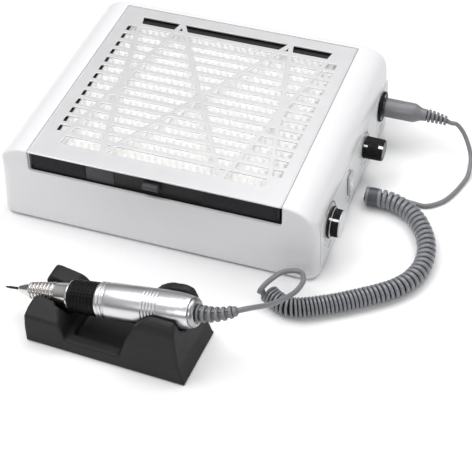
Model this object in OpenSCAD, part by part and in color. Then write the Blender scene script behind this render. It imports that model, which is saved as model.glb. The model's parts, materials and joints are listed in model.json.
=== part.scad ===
// Nail dust collector with a plugged-in rotary handpiece, its coiled cord and its rubber rest.
// X runs across the housing (+X is the side with the controls), Y runs from front to rear, Z is up.
// The set stands on the plane Z = 0, and the origin is the middle of the set's footprint.

/* [Housing] */
// Outside width of the housing at table level
housing_w = 277.8; // [274:0.1:282]
// Outside depth of the housing
housing_d = 230; // [228:0.5:234]
// Height of the working surface above the table
housing_h = 73.6; // [73:0.1:76]
// Wall thickness of the moulded shell
shell_wall = 2.6; // [2:0.1:3]
// Horizontal reach of the rounded shoulder
shoulder_a = 28; // [26:0.5:30]
// Vertical drop of the rounded shoulder
shoulder_b = 23.6; // [22:0.1:25]
// Fullness of the shoulder curve
shoulder_e = 2.2; // [2:0.1:2.6]
// Radius of the housing's upright front corners in plan
corner_r = 11; // [8:1:14]
// Height of the rubber feet
foot_h = 3; // [2.5:0.1:3]

/* [Cover plate] */
// Width of the slotted cover plate
plate_w = 217.8; // [217:0.1:218]
// Depth of the slotted cover plate
plate_d = 220.6; // [219:0.1:221]
// Thickness of the cover plate
plate_t = 1.5; // [1.2:0.1:1.5]
// Number of slot rows
slot_rows = 15; // [15:1:15]
// Distance from one slot row to the next
slot_pitch = 12.53; // [12.4:0.01:12.6]
// Height of one slot
slot_h = 7.9; // [6:0.1:9]
// Width of the slanting bars
slant_w = 4.2; // [3:0.1:6]

/* [Filter] */
// Pitch of the filter pleats
pleat_pitch = 6; // [5:0.5:8]
// Thickness of the filter paper
pleat_t = 0.8; // [0.5:0.1:1]

/* [Fan] */
// Radius of the impeller
impeller_r = 74; // [70:1:75]
// Number of impeller blades
blade_count = 22; // [12:1:26]
// Radius of the motor shaft
motor_shaft_r = 2.5; // [2.5:0.1:2.5]

/* [Controls] */
// Radius of the suction knob's skirt
suction_skirt_r = 13.6; // [13.2:0.1:14.5]
// Radius of the speed knob
speed_knob_r = 9.5; // [9:0.25:9.75]
// Radius of the knob shafts
pot_shaft_r = 3; // [3:0.1:3]
// Travel of the direction rocker between its two ends, in degrees
rocker_throw = 16; // [12:1:16]

/* [Handpiece] */
// Radius of the handpiece body
hand_r = 14.5; // [14.2:0.1:14.5]
// Slope of the resting handpiece
hand_tilt = 10.7; // [10:0.1:11]
// Turn of the handpiece and its rest in plan
rest_turn = 2.6; // [2:0.1:3]

/* [Cords] */
// Outside radius of the coiled cord
coil_r = 8.2; // [7.2:0.1:8.2]
// Radius of the straight leads
lead_r = 1.8; // [1.5:0.1:1.8]

/* [Hidden] */

// Colours that several pieces share
screw_grey = [0.6, 0.6, 0.62];
nut_grey = [0.75, 0.75, 0.77];
shaft_grey = [0.8, 0.8, 0.82];
bearing_grey = [0.75, 0.76, 0.78];
cap_silver = [0.78, 0.79, 0.8];
cord_grey = [0.5, 0.5, 0.51];
knob_black = [0.07, 0.07, 0.075];
board_green = [0.1, 0.35, 0.2];
part_dark = [0.15, 0.15, 0.2];

// The housing's front wall stands on Y = 0 and its middle on X = 0 before this shift.
shift_x = -44.434;
shift_y = -47.55;

// Housing walls
half_w = housing_w / 2;
wall_lean = 1.9; // how far the side wall leans in below the shoulder
lean_z = 3;
shoulder_x = half_w - wall_lean - shoulder_a;
shoulder_z = housing_h - shoulder_b;
lean_angle = atan(wall_lean / (shoulder_z - lean_z));
shell_z = 2.5;
rear_corner_r = 16;
top_edge_r = 6;
rear_inner_y = housing_d - shell_wall;

// Filter bay, open at the top
plate_z = housing_h - plate_t;
bay_x = 109.25;
bay_y0 = shell_wall;
bay_y1 = 221.4;
gap_z = 53.5; // lower edge of the opening in the front wall
gap_r = 3.5;
ring_z = 49.5;
magnet_x = [107, 108.9];
magnet_y = [20, 170];
magnet_length = 24;
magnet_z = 68.5;

// Screw posts and base
post_x = 128;
post_y = [62, 118, 172];
base_t = 2.4;
base_top = foot_h + base_t;

// Rear wall openings: centre as [x, z]
exhaust_pos = [70, 26];
inlet_pos = [-100, 22];

// Circuit boards
board_z = 12.05;
board_top = board_z + 1.6;
part_z = board_top + 0.05;

// Centre of the fan, the circle of its mounting screws, and the motor
fan_x = -10;
fan_y = 110;
motor_screw_circle_r = 30;
can_inner_r = 22;
motor_bearing_r = 8;

// Control positions along the side wall: [y, z]
suction_pos = [37.3, 35.2];
speed_pos = [142, 31.4];
rocker_pos = [94.5, 30];
socket_pos = [197.6, 34];
pot_positions = [suction_pos, speed_pos];
// X range of the cutters that pass through the control wall
wall_cut_x0 = 130;
wall_cut_x1 = 145;
knob_x = 139.1;
shaft_x = 128.1;
suction_shaft_end_x = 146.5;
speed_shaft_end_x = 152;
speed_cap_r = 7.35;
// The rocker turns about a pin along Y behind its face; it rests with its upper end pressed in.
rocker_axis_x = 136.6;
rocker_pin_r = 1;

// ---------- shared helpers ----------
module place() {
    translate([shift_x, shift_y, 0]) children();
}
module at_fan(z) {
    translate([fan_x, fan_y, z]) children();
}
module at_motor_screws(z = 0) {
    for (angle = [45 : 90 : 315])
        translate([motor_screw_circle_r * cos(angle), motor_screw_circle_r * sin(angle), z])
            children();
}
module at_posts(z) {
    for (side = [-1, 1], y = post_y) translate([side * post_x, y, z]) children();
}
// Box between two opposite corners
module box(low, high) {
    translate(low) cube([high[0] - low[0], high[1] - low[1], high[2] - low[2]]);
}
// The same box on the +X side and on the -X side
module box_pair(low, high) {
    for (side = [-1, 1])
        box([side > 0 ? low[0] : -high[0], low[1], low[2]],
            [side > 0 ? high[0] : -low[0], high[1], high[2]]);
}
// Box centred on a rear wall position [x, z]
module rear_box(centre, half_x, half_z, y0, y1) {
    box([centre[0] - half_x, y0, centre[1] - half_z], [centre[0] + half_x, y1, centre[1] + half_z]);
}
// Box centred on the rocker
module rocker_box(x0, x1, half_y, half_z) {
    box([x0, rocker_pos[0] - half_y, rocker_pos[1] - half_z],
        [x1, rocker_pos[0] + half_y, rocker_pos[1] + half_z]);
}
// Cylinder along X, centred on a side wall position [y, z]
module along_x(x0, x1, radius, pos, fn = 48) {
    translate([x0, pos[0], pos[1]]) rotate([0, 90, 0]) cylinder(h = x1 - x0, r = radius, $fn = fn);
}
// Turned part along X; its points are [radius, distance from x]
module turned_x(x, pos, points, fn = 72) {
    translate([x, pos[0], pos[1]]) rotate([0, 90, 0]) turned(points, fn);
}
// Turned part along Z; its points are [radius, z]
module turned(points, fn = 96) {
    rotate_extrude($fn = fn) polygon(points);
}
// Disc with a hole; cut_h is the height of the hole's cutter, which starts 1 below the disc
module ring(height, radius, hole_r, cut_h, fn = 96, hole_fn = 48) {
    difference() {
        cylinder(h = height, r = radius, $fn = fn);
        translate([0, 0, -1]) cylinder(h = cut_h, r = hole_r, $fn = hole_fn);
    }
}

// ---------- housing outline ----------
// Half section of the housing across X; inset shrinks it on every side.
function half_section(inset) = concat(
    [[half_w - inset, shell_z - (inset > 0 ? 2 : 0)], [half_w - wall_lean - inset, shoulder_z]],
    [for (i = [1 : 24]) let (angle = 90 * i / 24)
        [shoulder_x + (shoulder_a - inset) * pow(cos(angle), 2 / shoulder_e),
         shoulder_z + (shoulder_b - inset) * pow(sin(angle), 2 / shoulder_e)]]);
function mirror_x(points) =
    [for (i = [len(points) - 1 : -1 : 0]) [-points[i][0], points[i][1]]];
function section_across(inset) = concat(half_section(inset), mirror_x(half_section(inset)));
// Section of the housing along Y: upright front, upright rear with a rounded top edge.
function section_along(inset) = let (radius = top_edge_r - inset) concat(
    [[inset, 0], [housing_d - inset, 0]],
    [for (i = [0 : 8]) let (angle = 90 * i / 8)
        [housing_d - inset - radius + radius * cos(angle),
         housing_h - inset - radius + radius * sin(angle)]],
    [[inset, housing_h - inset]]);
module plan_outline(inset) {
    // [side in x, side in y, radius, start angle]
    corners = [[1, 1, rear_corner_r, 0], [-1, 1, rear_corner_r, 90],
        [-1, -1, corner_r, 180], [1, -1, corner_r, 270]];
    polygon([for (corner = corners, i = [0 : 10])
        let (radius = corner[2] - inset, angle = corner[3] + 9 * i)
            [corner[0] * (half_w - inset - radius) + radius * cos(angle),
             (corner[1] > 0 ? housing_d - inset - radius : inset + radius)
                 + radius * sin(angle)]]);
}
module housing_form(inset) {
    intersection() {
        translate([0, housing_d + 10, 0]) rotate([90, 0, 0])
            linear_extrude(housing_d + 20) polygon(section_across(inset));
        translate([-half_w - 5, 0, 0]) rotate([90, 0, 90])
            linear_extrude(housing_w + 10) polygon(section_along(inset));
        linear_extrude(housing_h + 5) plan_outline(inset);
    }
}

// ---------- housing ----------
// Opening in the front wall, in front of the filter, with rounded lower corners
module front_opening() {
    translate([0, bay_y0 + 0.02, 0]) rotate([90, 0, 0]) linear_extrude(6) union() {
        translate([-bay_x, gap_z + gap_r]) square([2 * bay_x, 30]);
        translate([-bay_x + gap_r, gap_z]) square([2 * (bay_x - gap_r), 10]);
        for (side = [-1, 1])
            translate([side * (bay_x - gap_r), gap_z + gap_r]) circle(r = gap_r, $fn = 32);
    }
}
module top_shell() {
    bay_wall = 2.2;
    place() color([0.95, 0.95, 0.96]) difference() {
        union() {
            difference() {
                housing_form(0);
                housing_form(shell_wall);
                box([-bay_x, bay_y0, 40], [bay_x, bay_y1, 90]);
            }
            // wall round the filter bay
            difference() {
                box([-bay_x - bay_wall, bay_y0 - 0.5, ring_z],
                    [bay_x + bay_wall, bay_y1 + bay_wall, 72]);
                box([-bay_x, bay_y0 - 1, ring_z - 1], [bay_x, bay_y1, 73]);
            }
            // ledges under the sides of the cover plate
            box_pair([106.5, 10, 66], [bay_x + 0.5, 214, plate_z - 0.05]);
            at_posts(5.5) cylinder(h = 56, r = 4, $fn = 32);
        }
        front_opening();
        at_posts(5) cylinder(h = 14, r = 1.45, $fn = 24);
        for (y = magnet_y)
            box_pair([magnet_x[0] - 0.1, y - 0.1, magnet_z - 0.1],
                [magnet_x[1] + 0.1, y + magnet_length + 0.1, 80]);
        for (pos = pot_positions) along_x(wall_cut_x0, wall_cut_x1, 3.7, pos);
        along_x(wall_cut_x0, wall_cut_x1, 10, socket_pos);
        rocker_box(wall_cut_x0, wall_cut_x1, 5.9, 8.9);
        rear_box(exhaust_pos, 22, 17, 220, 240);
        rear_box(inlet_pos, 12.7, 9.2, 220, 240);
    }
}
// Floor with board pillars, screw holes and two rows of slots under the fan
module base_plate() {
    pillars = concat([for (x = [101, 117], y = [29, 201]) [x, y]],
        [for (x = [-118, -90], y = [170, 202]) [x, y]]);
    slot_step = 7;
    place() color([0.9, 0.9, 0.91]) difference() {
        union() {
            translate([0, 0, foot_h]) linear_extrude(base_t) plan_outline(shell_wall + 0.5);
            for (pos = pillars)
                translate([pos[0], pos[1], foot_h + 1]) cylinder(h = 11 - foot_h, r = 2.8, $fn = 32);
        }
        at_posts(2) cylinder(h = 6, r = 1.55, $fn = 24);
        at_posts(foot_h - 1) cylinder(h = 2, r = 3, $fn = 24);
        at_fan(2) at_motor_screws() cylinder(h = 6, r = 1.55, $fn = 24);
        for (i = [-5 : 5], side = [-1, 1])
            at_fan(0) box([i * slot_step - 1.5, side * 56 - 12, 2],
                [i * slot_step + 1.5, side * 56 + 12, 8]);
    }
}
module rubber_feet() {
    place() color([0.12, 0.12, 0.13]) for (x = [-124, 124], y = [13, 213])
        translate([x, y, 0]) cylinder(h = foot_h, r = 7, $fn = 48);
}
// Cross-slotted screws that rise into the shell's posts
module base_screws() {
    slot_half = 0.4;
    slot_top = 0.7;
    place() color(screw_grey) at_posts(foot_h - 0.3) difference() {
        union() {
            cylinder(h = 1.25, r = 2.8, $fn = 32);
            cylinder(h = 13, r = 1.4, $fn = 24);
        }
        box([-slot_half, -2, -1], [slot_half, 2, slot_top]);
        box([-2, -slot_half, -1], [2, slot_half, slot_top]);
    }
}
// Frame with seven level bars and one upright, inside the rear wall
module exhaust_grille() {
    frame_y1 = rear_inner_y - 0.1;
    bar_y1 = frame_y1 - 0.1;
    bar_pitch = 4.4;
    bar_h = 1.7;
    bar_half_x = 22;
    place() color([0.88, 0.88, 0.9]) union() {
        difference() {
            rear_box(exhaust_pos, 24, 19, 225, frame_y1);
            rear_box(exhaust_pos, 21.5, 16.5, 224, 229);
        }
        for (i = [0 : 6]) let (z = 12.2 + i * bar_pitch)
            box([exhaust_pos[0] - bar_half_x, 225.4, z],
                [exhaust_pos[0] + bar_half_x, bar_y1, z + bar_h]);
        rear_box(exhaust_pos, 1, 17, 225.2, bar_y1);
    }
}
module power_inlet() {
    place() color([0.13, 0.13, 0.14]) difference() {
        union() {
            rear_box(inlet_pos, 15, 11, housing_d + 0.05, housing_d + 1.6);
            rear_box(inlet_pos, 12.5, 9, 210, housing_d + 0.1);
        }
        rear_box(inlet_pos, 9, 4.5, 218, 240);
    }
    place() color([0.8, 0.75, 0.5]) for (side = [-1, 1])
        translate([inlet_pos[0] + side * 4.4, 226, inlet_pos[1]]) rotate([90, 0, 0])
            cylinder(h = 7.9, r = 1.2, $fn = 24);
}

// ---------- fan housing and filter seat ----------
// Partition above the fan, with the fan's intake hole
module fan_deck() {
    place() color([0.35, 0.35, 0.37]) difference() {
        box([-112, 3.3, 46.9], [112, 224.2, 49.4]);
        at_fan(40) cylinder(h = 20, r = 58, $fn = 96);
    }
}
// Concentric rings joined by eight spokes
module fan_guard() {
    guard_h = 2;
    cut_h = 4;
    rim_r = 62;
    rim_inner_r = 58.5;
    place() color([0.2, 0.2, 0.21]) at_fan(49.45) union() {
        for (middle_r = [14, 28, 42, 56]) ring(guard_h, middle_r + 1, middle_r - 1, cut_h, 96, 96);
        difference() {
            union() for (angle = [0 : 45 : 135])
                rotate([0, 0, angle]) box([-60, -1, 0], [60, 1, guard_h]);
            translate([0, 0, -1]) cylinder(h = cut_h, r = 13.5, $fn = 64);
        }
        ring(guard_h, rim_r, rim_inner_r, cut_h, 96, 96);
    }
}
// Scroll wall of the fan: its radius grows with the angle, then it leaves straight to the rear.
scroll_start = 40;
function scroll_r(angle) = 78 + 22 * (angle - scroll_start) / 320;
function scroll_points(extra_r) = [for (i = [0 : 64]) let (angle = scroll_start + 5 * i)
    (scroll_r(angle) + extra_r) * [cos(angle), sin(angle)]];
function reversed(list) = [for (i = [len(list) - 1 : -1 : 0]) list[i]];
module fan_shroud() {
    wall = 1.8;
    wall_z = base_top + 0.1;
    wall_h = 41.3;
    outlet_x = scroll_r(360);
    outlet_y = 114.6;
    inner_start = scroll_r(scroll_start) * [cos(scroll_start), sin(scroll_start)];
    start_y = scroll_r(scroll_start) * sin(scroll_start) - 0.5;
    place() color([0.3, 0.3, 0.32]) difference() {
        union() {
            at_fan(wall_z) linear_extrude(wall_h) polygon(concat(scroll_points(wall),
                [[outlet_x + wall, outlet_y], [outlet_x, outlet_y]], reversed(scroll_points(0))));
            at_fan(0) box([inner_start[0], start_y, wall_z],
                [inner_start[0] + wall, outlet_y, wall_z + wall_h]);
        }
        // notch for the motor wire
        box([fan_x - 3, 5, 5], [fan_x + 3, 40, 10]);
    }
}
module filter_gasket() {
    place() color([0.15, 0.15, 0.16]) difference() {
        box([-108, 5, ring_z], [108, 217, 54.3]);
        box([-98, 11, 40], [98, 210, 60]);
    }
}
module cover_magnets() {
    place() color([0.7, 0.7, 0.72]) for (y = magnet_y)
        box_pair([magnet_x[0], y, magnet_z], [magnet_x[1], y + magnet_length, plate_z - 0.08]);
}

// ---------- fan motor and impeller ----------
module motor_mount() {
    place() color([0.72, 0.73, 0.75]) at_fan(base_top + 0.05) difference() {
        cylinder(h = 2, r = 36, $fn = 64);
        at_motor_screws(-1) cylinder(h = 6, r = 1.55, $fn = 24);
        translate([0, 0, -1]) cylinder(h = 6, r = 9, $fn = 48);
    }
}
module motor_screws() {
    place() color(screw_grey) at_fan(3.1) at_motor_screws() union() {
        cylinder(h = 5, r = 1.45, $fn = 24);
        translate([0, 0, 4.4]) cylinder(h = 1.8, r = 2.7, $fn = 32);
    }
}
module motor_can() {
    place() color([0.68, 0.69, 0.7]) at_fan(0) difference() {
        translate([0, 0, 7.5]) cylinder(h = 22, r = can_inner_r + 2, $fn = 64);
        translate([0, 0, 9]) cylinder(h = 19, r = can_inner_r, $fn = 64);
        translate([0, 0, 5]) cylinder(h = 30, r = motor_bearing_r + 0.05, $fn = 48);
    }
}
module motor_bearings() {
    place() color(bearing_grey) for (z = [7.7, 24.6])
        at_fan(z) ring(4.8, motor_bearing_r, motor_shaft_r + 0.05, 8, 48);
}
// Thick ring with nine radial slots
module motor_stator() {
    place() color([0.72, 0.42, 0.2]) at_fan(12.6) difference() {
        cylinder(h = 11.6, r = can_inner_r - 0.1, $fn = 64);
        translate([0, 0, -1]) cylinder(h = 15, r = 12.5, $fn = 64);
        for (angle = [0 : 40 : 320]) rotate([0, 0, angle]) box([14, -1.2, -1], [19.5, 1.2, 20]);
    }
}
module motor_rotor() {
    place() color([0.25, 0.25, 0.27]) at_fan(12.8) ring(11.2, 12, motor_shaft_r + 0.01, 15, 64);
}
module motor_shaft() {
    place() color(shaft_grey) at_fan(7.9) cylinder(h = 38.2, r = motor_shaft_r, $fn = 48);
}
// Blade edge: the angle lags ever faster as the radius grows.
blade_root_r = 44;
blade_steps = 6;
blade_bend = 9;
blade_lag = 6;
function blade_point(i, start_angle) = let (
    part = i / blade_steps,
    radius = blade_root_r + (impeller_r - 1 - blade_root_r) * part,
    angle = start_angle - blade_bend * part * part - blade_lag * part)
    radius * [cos(angle), sin(angle)];
module impeller() {
    disc_z = 31;
    blade_angle_t = 1.3; // thickness of a blade as an angle
    place() color([0.16, 0.16, 0.17]) at_fan(0) difference() {
        union() {
            translate([0, 0, disc_z]) cylinder(h = 2, r = impeller_r, $fn = 96);
            translate([0, 0, disc_z]) cylinder(h = 10, r = 9, $fn = 48);
            for (blade = [0 : blade_count - 1])
                rotate([0, 0, blade * 360 / blade_count])
                    translate([0, 0, disc_z + 1.8]) linear_extrude(11.4) polygon(concat(
                        [for (i = [0 : blade_steps]) blade_point(i, 0)],
                        [for (i = [blade_steps : -1 : 0]) blade_point(i, blade_angle_t)]));
            // ring over the blade tips
            translate([0, 0, 44]) ring(1.5, impeller_r, 56, 5, 96, 96);
        }
        translate([0, 0, 20]) cylinder(h = 30, r = motor_shaft_r + 0.01, $fn = 48);
    }
}
module impeller_nut() {
    place() color(nut_grey) at_fan(41.05) ring(4, 4.6, motor_shaft_r + 0.01, 8, 6);
}

// ---------- circuit boards ----------
module power_board() {
    place() color(board_green) box([-122, 166, board_z], [-86, 206, board_top]);
}
// Yellow block, two dark cylinders and an upright plate
module power_components() {
    place() {
        color([0.85, 0.75, 0.2]) box([-119, 180, part_z], [-95, 202, 36]);
        color(part_dark) for (x = [-116, -102])
            translate([x, 172.5, part_z]) cylinder(h = 18, r = 5, $fn = 32);
        color([0.2, 0.2, 0.2]) box([-92, 184, part_z], [-90.2, 196, 30]);
    }
}
// Upright plate with six fins towards +X
module heat_sink() {
    sink_y = 180;
    sink_top = 38;
    fin_pitch = 4.1;
    fin_t = 1.4;
    place() color([0.7, 0.71, 0.72]) union() {
        box([-90.1, sink_y, part_z], [-88.4, 202, sink_top]);
        for (i = [0 : 5]) let (y = sink_y + i * fin_pitch)
            box([-88.6, y, part_z], [-85.4, y + fin_t, sink_top]);
    }
}
module control_board() {
    place() {
        color(board_green) box([97, 25, board_z], [121, 205, board_top]);
        color([0.12, 0.12, 0.13]) {
            box([103, 90, part_z], [113, 104, 16]);
            for (y = [60, 150]) box([101, y, part_z], [109, y + 6, 20]);
        }
        color(part_dark) for (y = [75, 135, 170])
            translate([114, y, part_z]) cylinder(h = 12, r = 4, $fn = 32);
    }
}

// ---------- controls on the +X wall ----------
// Thin sheet on the leaning wall, cut out round the controls
module control_label() {
    place() color([0.9, 0.91, 0.91]) difference() {
        translate([half_w, 0, lean_z]) rotate([0, -lean_angle, 0])
            box([0.04, 12, 6], [0.34, 221, 45]);
        for (pos = pot_positions) along_x(wall_cut_x0, wall_cut_x1, 7.5, pos);
        along_x(wall_cut_x0, wall_cut_x1, 10.4, socket_pos);
        rocker_box(wall_cut_x0, wall_cut_x1, 6.2, 9.2);
    }
}
module potentiometers() {
    place() color([0.55, 0.56, 0.58]) for (pos = pot_positions) difference() {
        union() {
            along_x(126, 134.2, 8.5, pos);
            along_x(134, 141.2, 3.5, pos);
        }
        along_x(128, 150, pot_shaft_r + 0.05, pos);
    }
}
module pot_nuts() {
    place() color(nut_grey) for (pos = pot_positions) difference() {
        along_x(138.8, 140.8, 5.6, pos, 6);
        along_x(130, 150, 3.52, pos);
    }
}
// Recess over the nut and bore for the shaft
module knob_bores(pos, recess_r, shaft_end_x) {
    along_x(130, 141.5, recess_r, pos);
    along_x(130, shaft_end_x + 0.1, pot_shaft_r + 0.02, pos);
}
// Grooves along X round a knob; step is the angle between them
module knob_grooves(pos, x, radius, length, step) {
    for (angle = [0 : step : 360 - step]) translate([0, pos[0], pos[1]]) rotate([angle, 0, 0])
        translate([x, 0, radius]) rotate([0, 90, 0]) cylinder(h = length, r = 0.9, $fn = 16);
}
module pot_shaft(pos, end_x) {
    along_x(shaft_x, end_x, pot_shaft_r, pos);
}
module suction_knob() {
    place() color(knob_black) difference() {
        turned_x(knob_x, suction_pos, [[0, 0], [suction_skirt_r - 0.4, 0], [suction_skirt_r, 0.4],
            [suction_skirt_r, 1.3], [suction_skirt_r - 0.8, 2.1], [12, 2.3], [11.7, 2.7],
            [11.5, 7.7], [11.1, 8.1], [0, 8.1]]);
        knob_bores(suction_pos, 7, suction_shaft_end_x);
        knob_grooves(suction_pos, 141.9, 12.1, 10, 15);
    }
}
module suction_knob_cap() {
    place() color(cap_silver) turned_x(147.23, suction_pos, [[0, 0], [11, 0], [11.4, 0.4],
        [11.4, 0.9], [10.9, 1.4], [6.8, 1.4], [6.3, 1.1], [0, 1.1]]);
}
module suction_pot_shaft() {
    place() color(shaft_grey) pot_shaft(suction_pos, suction_shaft_end_x);
}
module speed_knob() {
    skirt_r = speed_knob_r + 0.5;
    place() color(knob_black) difference() {
        turned_x(knob_x, speed_pos, [[0, 0], [skirt_r, 0], [skirt_r, 1.2],
            [speed_knob_r + 0.2, 1.8], [speed_knob_r - 0.05, 15.9], [speed_knob_r - 0.6, 16.5],
            [0, 16.5]]);
        knob_bores(speed_pos, 6.9, speed_shaft_end_x);
        along_x(154.3, 158, speed_cap_r + 0.05, speed_pos);
        knob_grooves(speed_pos, 141.5, skirt_r, 20, 18);
    }
}
module speed_knob_cap() {
    place() color(cap_silver) turned_x(154.32, speed_pos, [[0, 0], [speed_cap_r, 0],
        [speed_cap_r, 0.9], [speed_cap_r - 0.35, 1.25], [0, 1.25]], 64);
}
module speed_pot_shaft() {
    place() color(shaft_grey) pot_shaft(speed_pos, speed_shaft_end_x);
}
module direction_rocker() {
    half_y = 4.9;
    pin_half_y = 5.4;
    place() color([0.82, 0.83, 0.83])
        translate([rocker_axis_x, rocker_pos[0], rocker_pos[1]])
        rotate([0, -rocker_throw / 2, 0]) rotate([90, 0, 0]) union() {
            translate([0, 0, -half_y]) linear_extrude(2 * half_y) intersection() {
                circle(r = 7.7, $fn = 96);
                polygon([[0, -8], [4.4, -8], [3.7, 0], [4.4, 8], [0, 8]]);
            }
            translate([0, 0, -pin_half_y])
                cylinder(h = 2 * pin_half_y, r = rocker_pin_r, $fn = 24);
        }
}
// Open case round the rocker, with a rim outside the wall
module direction_switch() {
    place() color([0.7, 0.71, 0.72]) difference() {
        union() {
            rocker_box(138.75, 139.9, 6.6, 9.7);
            rocker_box(124, 138.9, 5.7, 8.7);
        }
        rocker_box(wall_cut_x0, wall_cut_x1, 5.05, 7.9);
        translate([rocker_axis_x, rocker_pos[0] + 5.5, rocker_pos[1]]) rotate([90, 0, 0])
            cylinder(h = 11, r = rocker_pin_r + 0.06, $fn = 24);
    }
}
// Pins or pin holes on a half circle round the socket's axis
module socket_pins(x0, x1, radius) {
    for (angle = [0 : 45 : 180])
        along_x(x0, x1, radius, socket_pos + 3.6 * [cos(angle), sin(angle)], 24);
}
module handpiece_socket() {
    place() color([0.08, 0.08, 0.085]) difference() {
        union() {
            turned_x(138.7, socket_pos,
                [[0, 0], [13.75, 0], [13.75, 1.5], [12.9, 2.4], [0, 2.4]]);
            along_x(122, 138.8, 9.8, socket_pos);
        }
        // bore for the plug, round a core that has the pin holes
        difference() {
            along_x(128, 150, 6.66, socket_pos);
            difference() {
                along_x(126, 138, 5.7, socket_pos);
                socket_pins(129, 150, 0.8);
            }
        }
    }
}

// ---------- cover plate: slot rows crossed by slanting bars ----------
module slant(start, end) {
    along = end - start;
    side = [-along[1], along[0]] / norm(along) * slant_w / 2;
    polygon([start + side, end + side, end - side, start - side]);
}
module diamond(x, y, half_x, half_y) {
    polygon([[x - half_x, y], [x, y - half_y], [x + half_x, y], [x, y + half_y]]);
}
// The first and last rows are taller and shorter across; the rearmost also sits further back.
module slot_row(i) {
    end_row = i == 0 || i == slot_rows - 1;
    height = end_row ? 10.3 : slot_h;
    y = 112.9 + (7 - i) * slot_pitch * (end_row ? 1.012 : 1) + (i == 0 ? 1.2 : 0);
    half_x = plate_w / 2 - (end_row ? 19.1 : 11.2);
    translate([-half_x, y - height / 2]) square([2 * half_x, height]);
}
module cover_plate() {
    bar_front_y = 17;
    bar_rear_y = 209;
    middle_y = 112.5;
    left_x = -51.2;
    right_x = 51.6;
    // bar ends: [x at the rear, x at the front]
    bars = [[left_x, -91], [-91, left_x + 0.8], [left_x, right_x],
        [right_x - 0.6, left_x + 0.8], [right_x - 0.6, 91.6], [91.6, right_x]];
    place() color([0.86, 0.86, 0.87]) translate([0, 0.1, plate_z])
        linear_extrude(plate_t) difference() {
            translate([-plate_w / 2, 0]) square([plate_w, plate_d]);
            difference() {
                for (i = [0 : slot_rows - 1]) slot_row(i);
                for (bar = bars) slant([bar[0], bar_rear_y], [bar[1], bar_front_y]);
                // solid diamonds where the bars cross
                for (x = [-70.8, 71.6]) diamond(x, middle_y, 4.6, 21);
                diamond(0.4, middle_y, 6.6, 9);
            }
        }
}

// ---------- filter cassette ----------
// Tray with an open top and two rows of four windows in its floor
module filter_frame() {
    window_pitch = 49;
    place() color([0.1, 0.1, 0.11]) difference() {
        box([-106, 4, 54.5], [106, 217.5, 70.5]);
        box([-104, 6, 56.2], [104, 215.5, 68.8]);
        box([-97, 12, 60], [97, 203.5, 80]);
        for (i = [-2 : 1], span = [[12, 108], [111, 209]])
            box([i * window_pitch + 1.5, span[0], 50], [i * window_pitch + 47.5, span[1], 60]);
    }
}
// Zigzag sheet whose folds run along Y
module filter_media() {
    pleats = floor(206 / pleat_pitch);
    low_z = 56.4;
    high_z = 66.4;
    sheet_h = 2.2 * pleat_t; // paper thickness measured upright on the slope
    place() color([0.97, 0.97, 0.96]) translate([-pleats * pleat_pitch / 2, 215.2, 0])
        rotate([90, 0, 0]) linear_extrude(208.9) polygon(concat(
            [for (i = [0 : 2 * pleats]) [i * pleat_pitch / 2, i % 2 == 0 ? low_z : high_z]],
            [for (i = [2 * pleats : -1 : 0])
                [i * pleat_pitch / 2, (i % 2 == 0 ? low_z : high_z) + sheet_h]]));
}
// Three thin pads on the cassette's front face
module filter_pads() {
    place() color([0.22, 0.22, 0.23]) {
        for (span = [[-105.5, -59.2], [-58.8, -34], [42, 103.5]])
            box([span[0], 3.35, 55], [span[1], 3.98, 69.8]);
    }
}
module filter_pull_tab() {
    // [y, z]
    outline = [[3.95, 59.4], [3.95, 67.6], [-1.2, 66.4], [-2.4, 65.4], [-2.6, 62.6], [-1.6, 61]];
    place() color([0.25, 0.25, 0.26]) translate([-8, 0, 0]) rotate([90, 0, 90])
        linear_extrude(13.6) polygon(outline);
}

// ---------- plug ----------
ferrule_r = 6.6;
module plug_ferrule() {
    place() color(nut_grey) difference() {
        along_x(128.6, 142.6, ferrule_r, socket_pos);
        along_x(120, 150, 5.85, socket_pos);
    }
}
// Grip that narrows into five shrinking ribs round the lead
module plug_body() {
    place() color(cord_grey) difference() {
        turned_x(141.9, socket_pos, concat(
            [[0, 0], [7.9, 0], [8.5, 0.7], [8.5, 25.6], [8.1, 27], [6.1, 31.4], [5.5, 32.6],
                [5.2, 38]],
            [for (i = [0 : 4]) each let (x = 38.4 + i * 3.6, radius = 5.9 - i * 0.36)
                [[radius - 1.3, x], [radius - 1.3, x + 1.2], [radius, x + 1.6],
                    [radius - 0.1, x + 3.2]]],
            [[2.4, 56.4], [0, 56.4]]), 64);
        along_x(135, 142.8, ferrule_r + 0.03, socket_pos);
    }
}
module plug_pins() {
    place() color([0.82, 0.76, 0.5]) socket_pins(129.4, 142.78, 0.72);
}

// ---------- cords ----------
function unit(vector) = vector / norm(vector);
// Catmull-Rom curve from b to c, for t from 0 to 1
function spline(a, b, c, d, t) = 0.5 * (2 * b + (c - a) * t + (2 * a - 5 * b + 4 * c - d) * t * t
    + (3 * b - a - 3 * c + d) * t * t * t);
function route(way, steps) = let (last = len(way) - 1) concat(
    [for (i = [0 : last - 1], j = [0 : steps - 1])
        spline(way[max(i - 1, 0)], way[i], way[i + 1], way[min(i + 2, last)], j / steps)],
    [way[last]]);
function headings(path) = [for (i = [0 : len(path) - 1])
    unit(path[min(i + 1, len(path) - 1)] - path[max(i - 1, 0)])];
function square_to(vector, heading) = unit(vector - (vector * heading) * heading);
// Sideways directions carried along the path, so that the cord does not twist
function sideways(along, first) = [for (i = 0, side = square_to(first, along[0]); i < len(along);
    i = i + 1, side = i < len(along) ? square_to(side, along[i]) : side) side];
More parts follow.
